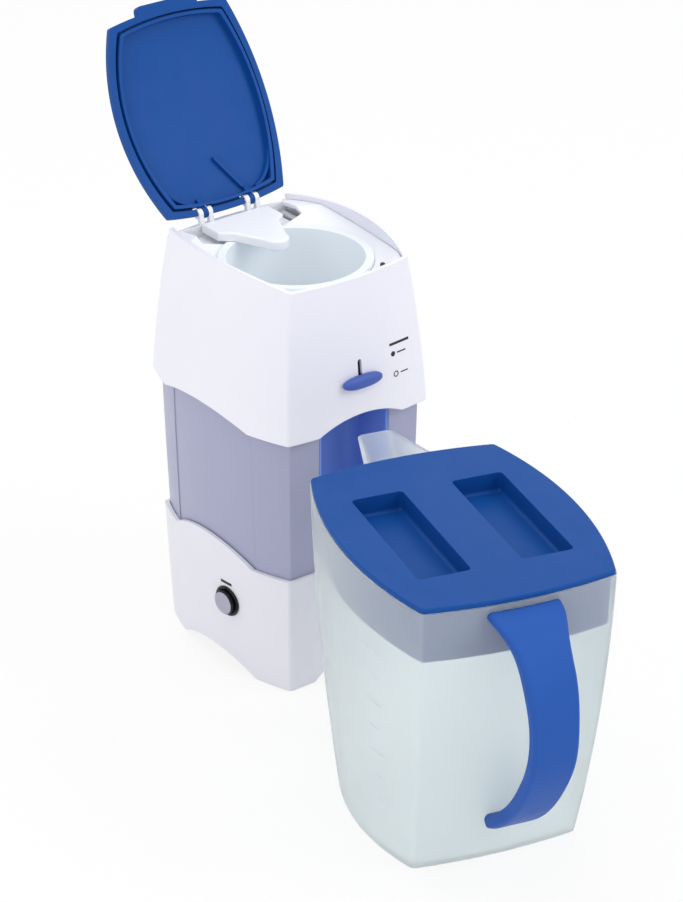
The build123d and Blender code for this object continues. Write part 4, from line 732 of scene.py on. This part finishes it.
class TEAMAKER_OT_marks(bpy.types.Operator):
    """Print the plain strength marks on the front and the mark over the start button"""

    bl_idname = "teamaker.marks"
    bl_label = "Printed marks"

    def execute(self, context):
        sizes = context.scene.tea_maker_marks
        # Pad-printed ink: a thin black film, flat beside the gloss of the ABS round it
        ink = moulded("pad_printed_ink_black", context.scene.tea_maker_finish.ink, 0.5, edge_mm=0.05)
        across = Vector((1, 0, 0))
        up = Vector((0, 0, 1))
        front = surface_of("upper_housing")
        start = Vector((0, MARK_START, 0))
        drawings = (
            bar(*in_metres(HEADING_BAR), sizes.bar_length, sizes.bar_height),
            ring(*in_metres(STRONG_DOT), sizes.dot_radius, DISC_HOLE),
            bar(*in_metres(STRONG_DASH)),
            ring(*in_metres(MILD_RING), sizes.ring_radius, sizes.ring_radius - RING_LINE),
            bar(*in_metres(MILD_DASH)),
        )
        outlines = [outline for drawing in drawings for outline in drawing]
        printed = laid_on(front, outlines, start, across, up, INK_LIFT, -sizes.print_thickness)
        add_piece("strength_marks", printed, ink, "tower", "black_plastic")
        side = surface_of("base_shell")
        start = Vector((MARK_START, 0, 0))
        across = Vector((0, -1, 0))
        printed = laid_on(side, bar(*in_metres(START_BAR)), start, across, up, INK_LIFT, -sizes.print_thickness)
        add_piece("start_mark", printed, ink, "tower", "black_plastic")
        return {"FINISHED"}


# ---------------------------------------------------------------------------------------
# Stage
# ---------------------------------------------------------------------------------------

def seen_directly(tree):
    """1 for rays from the camera, from reflections and through clear plastic, and 0 for the light on the object."""
    path = add_node(tree, "ShaderNodeLightPath")
    seen = add_node(tree, "ShaderNodeMath", links={0: path.outputs["Is Camera Ray"], 1: path.outputs["Is Glossy Ray"]},
                    operation="MAXIMUM")
    seen = add_node(tree, "ShaderNodeMath", links={0: seen.outputs["Value"], 1: path.outputs["Is Transmission Ray"]},
                    operation="MAXIMUM")
    return seen.outputs["Value"]


def area_light(name, place, size, power):
    """A soft square lamp aimed at the object."""
    lamp = bpy.data.lights.new(name, "AREA")
    lamp.shape = "SQUARE"
    lamp.size = size
    lamp.energy = power
    holder = add_object(name, lamp)
    holder.location = place
    holder.rotation_euler = (Vector(LIT_POINT) - Vector(place)).to_track_quat("-Z", "Y").to_euler()


class TEAMAKER_OT_stage(bpy.types.Operator):
    """Build the floor, the soft studio light and the camera"""

    bl_idname = "teamaker.stage"
    bl_label = "Floor, light and camera"

    def execute(self, context):
        scene = context.scene
        scene.view_settings.view_transform = "Standard"

        # camera
        camera = bpy.data.cameras.new("studio_camera")
        camera.lens = CAMERA_LENS
        camera.sensor_width = 36.0
        camera.clip_end = 50.0
        holder = add_object("studio_camera", camera)
        holder.location = CAMERA_PLACE
        ahead = Vector((sin(CAMERA_YAW) * cos(CAMERA_PITCH), cos(CAMERA_YAW) * cos(CAMERA_PITCH), -sin(CAMERA_PITCH)))
        holder.rotation_euler = ahead.to_track_quat("-Z", "Y").to_euler()
        scene.camera = holder

        # world
        world = bpy.data.worlds.new("studio_world")
        scene.world = world
        world.use_nodes = True
        tree = world.node_tree
        tree.nodes.clear()
        seen = seen_directly(tree)
        strength = add_node(tree, "ShaderNodeMapRange", {"To Min": SKY_STRENGTH, "To Max": 1.0}, {"Value": seen})
        sky = add_node(tree, "ShaderNodeBackground", {"Color": (1.0, 1.0, 1.0, 1.0)},
                       {"Strength": strength.outputs["Result"]})
        add_node(tree, "ShaderNodeOutputWorld", links={"Surface": sky.outputs["Background"]})

        # floor
        mesh = bpy.data.meshes.new("studio_floor")
        work = bmesh.new()
        bmesh.ops.create_circle(work, cap_ends=True, radius=FLOOR_RADIUS, segments=64)
        work.to_mesh(mesh)
        work.free()
        floor = add_object("studio_floor", mesh)
        floor.location = (0, 0, FLOOR_HEIGHT)
        # Matt background paper: even white, with only the object's soft shadow on it
        material = empty_material("matt_white_paper")
        tree = material.node_tree
        seen = seen_directly(tree)
        paper = add_node(tree, "ShaderNodeBsdfDiffuse", {"Color": (0.9, 0.9, 0.91, 1.0)})
        white = add_node(tree, "ShaderNodeEmission", {"Color": (1.0, 1.0, 1.0, 1.0), "Strength": 1.0})
        share = add_node(tree, "ShaderNodeMath", {1: FLOOR_WHITENESS}, {0: seen}, operation="MULTIPLY")
        mixed = add_node(tree, "ShaderNodeMixShader", links={"Fac": share.outputs["Value"]})
        tree.links.new(paper.outputs["BSDF"], mixed.inputs[1])
        tree.links.new(white.outputs["Emission"], mixed.inputs[2])
        add_node(tree, "ShaderNodeOutputMaterial", links={"Surface": mixed.outputs["Shader"]})
        floor.data.materials.append(material)

        # a broad key from the front right, a softer lamp from above and a weak one from the left
        for lamp in LAMPS:
            area_light(*lamp)
        return {"FINISHED"}


class TEAMAKER_PT_panel(bpy.types.Panel):
    """Steps and colours of the iced tea maker"""

    bl_idname = "TEAMAKER_PT_panel"
    bl_label = "Iced Tea Maker"
    bl_space_type = "VIEW_3D"
    bl_region_type = "UI"
    bl_category = "Iced Tea Maker"

    def draw(self, context):
        layout = self.layout
        for group in (context.scene.tea_maker_finish, context.scene.tea_maker_marks):
            box = layout.box()
            for key in group.bl_rna.properties.keys():
                if key not in ("rna_type", "name"):
                    box.prop(group, key)
        for step in STEPS:
            layout.operator(step.bl_idname)


STEPS = (
    TEAMAKER_OT_stage,
    TEAMAKER_OT_shells,
    TEAMAKER_OT_tank,
    TEAMAKER_OT_blue,
    TEAMAKER_OT_pitcher,
    TEAMAKER_OT_works,
    TEAMAKER_OT_marks,
)
CLASSES = (TeaMakerFinish, TeaMakerMarks, TEAMAKER_PT_panel) + STEPS


def register():
    """Register the classes and their settings."""
    for cls in CLASSES:
        bpy.utils.register_class(cls)
    bpy.types.Scene.tea_maker_finish = bpy.props.PointerProperty(type=TeaMakerFinish)
    bpy.types.Scene.tea_maker_marks = bpy.props.PointerProperty(type=TeaMakerMarks)


def unregister():
    """Remove the settings and the classes."""
    del bpy.types.Scene.tea_maker_marks
    del bpy.types.Scene.tea_maker_finish
    for cls in reversed(CLASSES):
        bpy.utils.unregister_class(cls)


def main():
    """Register the classes, then run every step in order."""
    register()
    bpy.ops.teamaker.stage()
    bpy.ops.teamaker.shells()
    bpy.ops.teamaker.tank()
    bpy.ops.teamaker.blue()
    bpy.ops.teamaker.pitcher()
    bpy.ops.teamaker.works()
    bpy.ops.teamaker.marks()


if __name__ == "__main__":
    main()
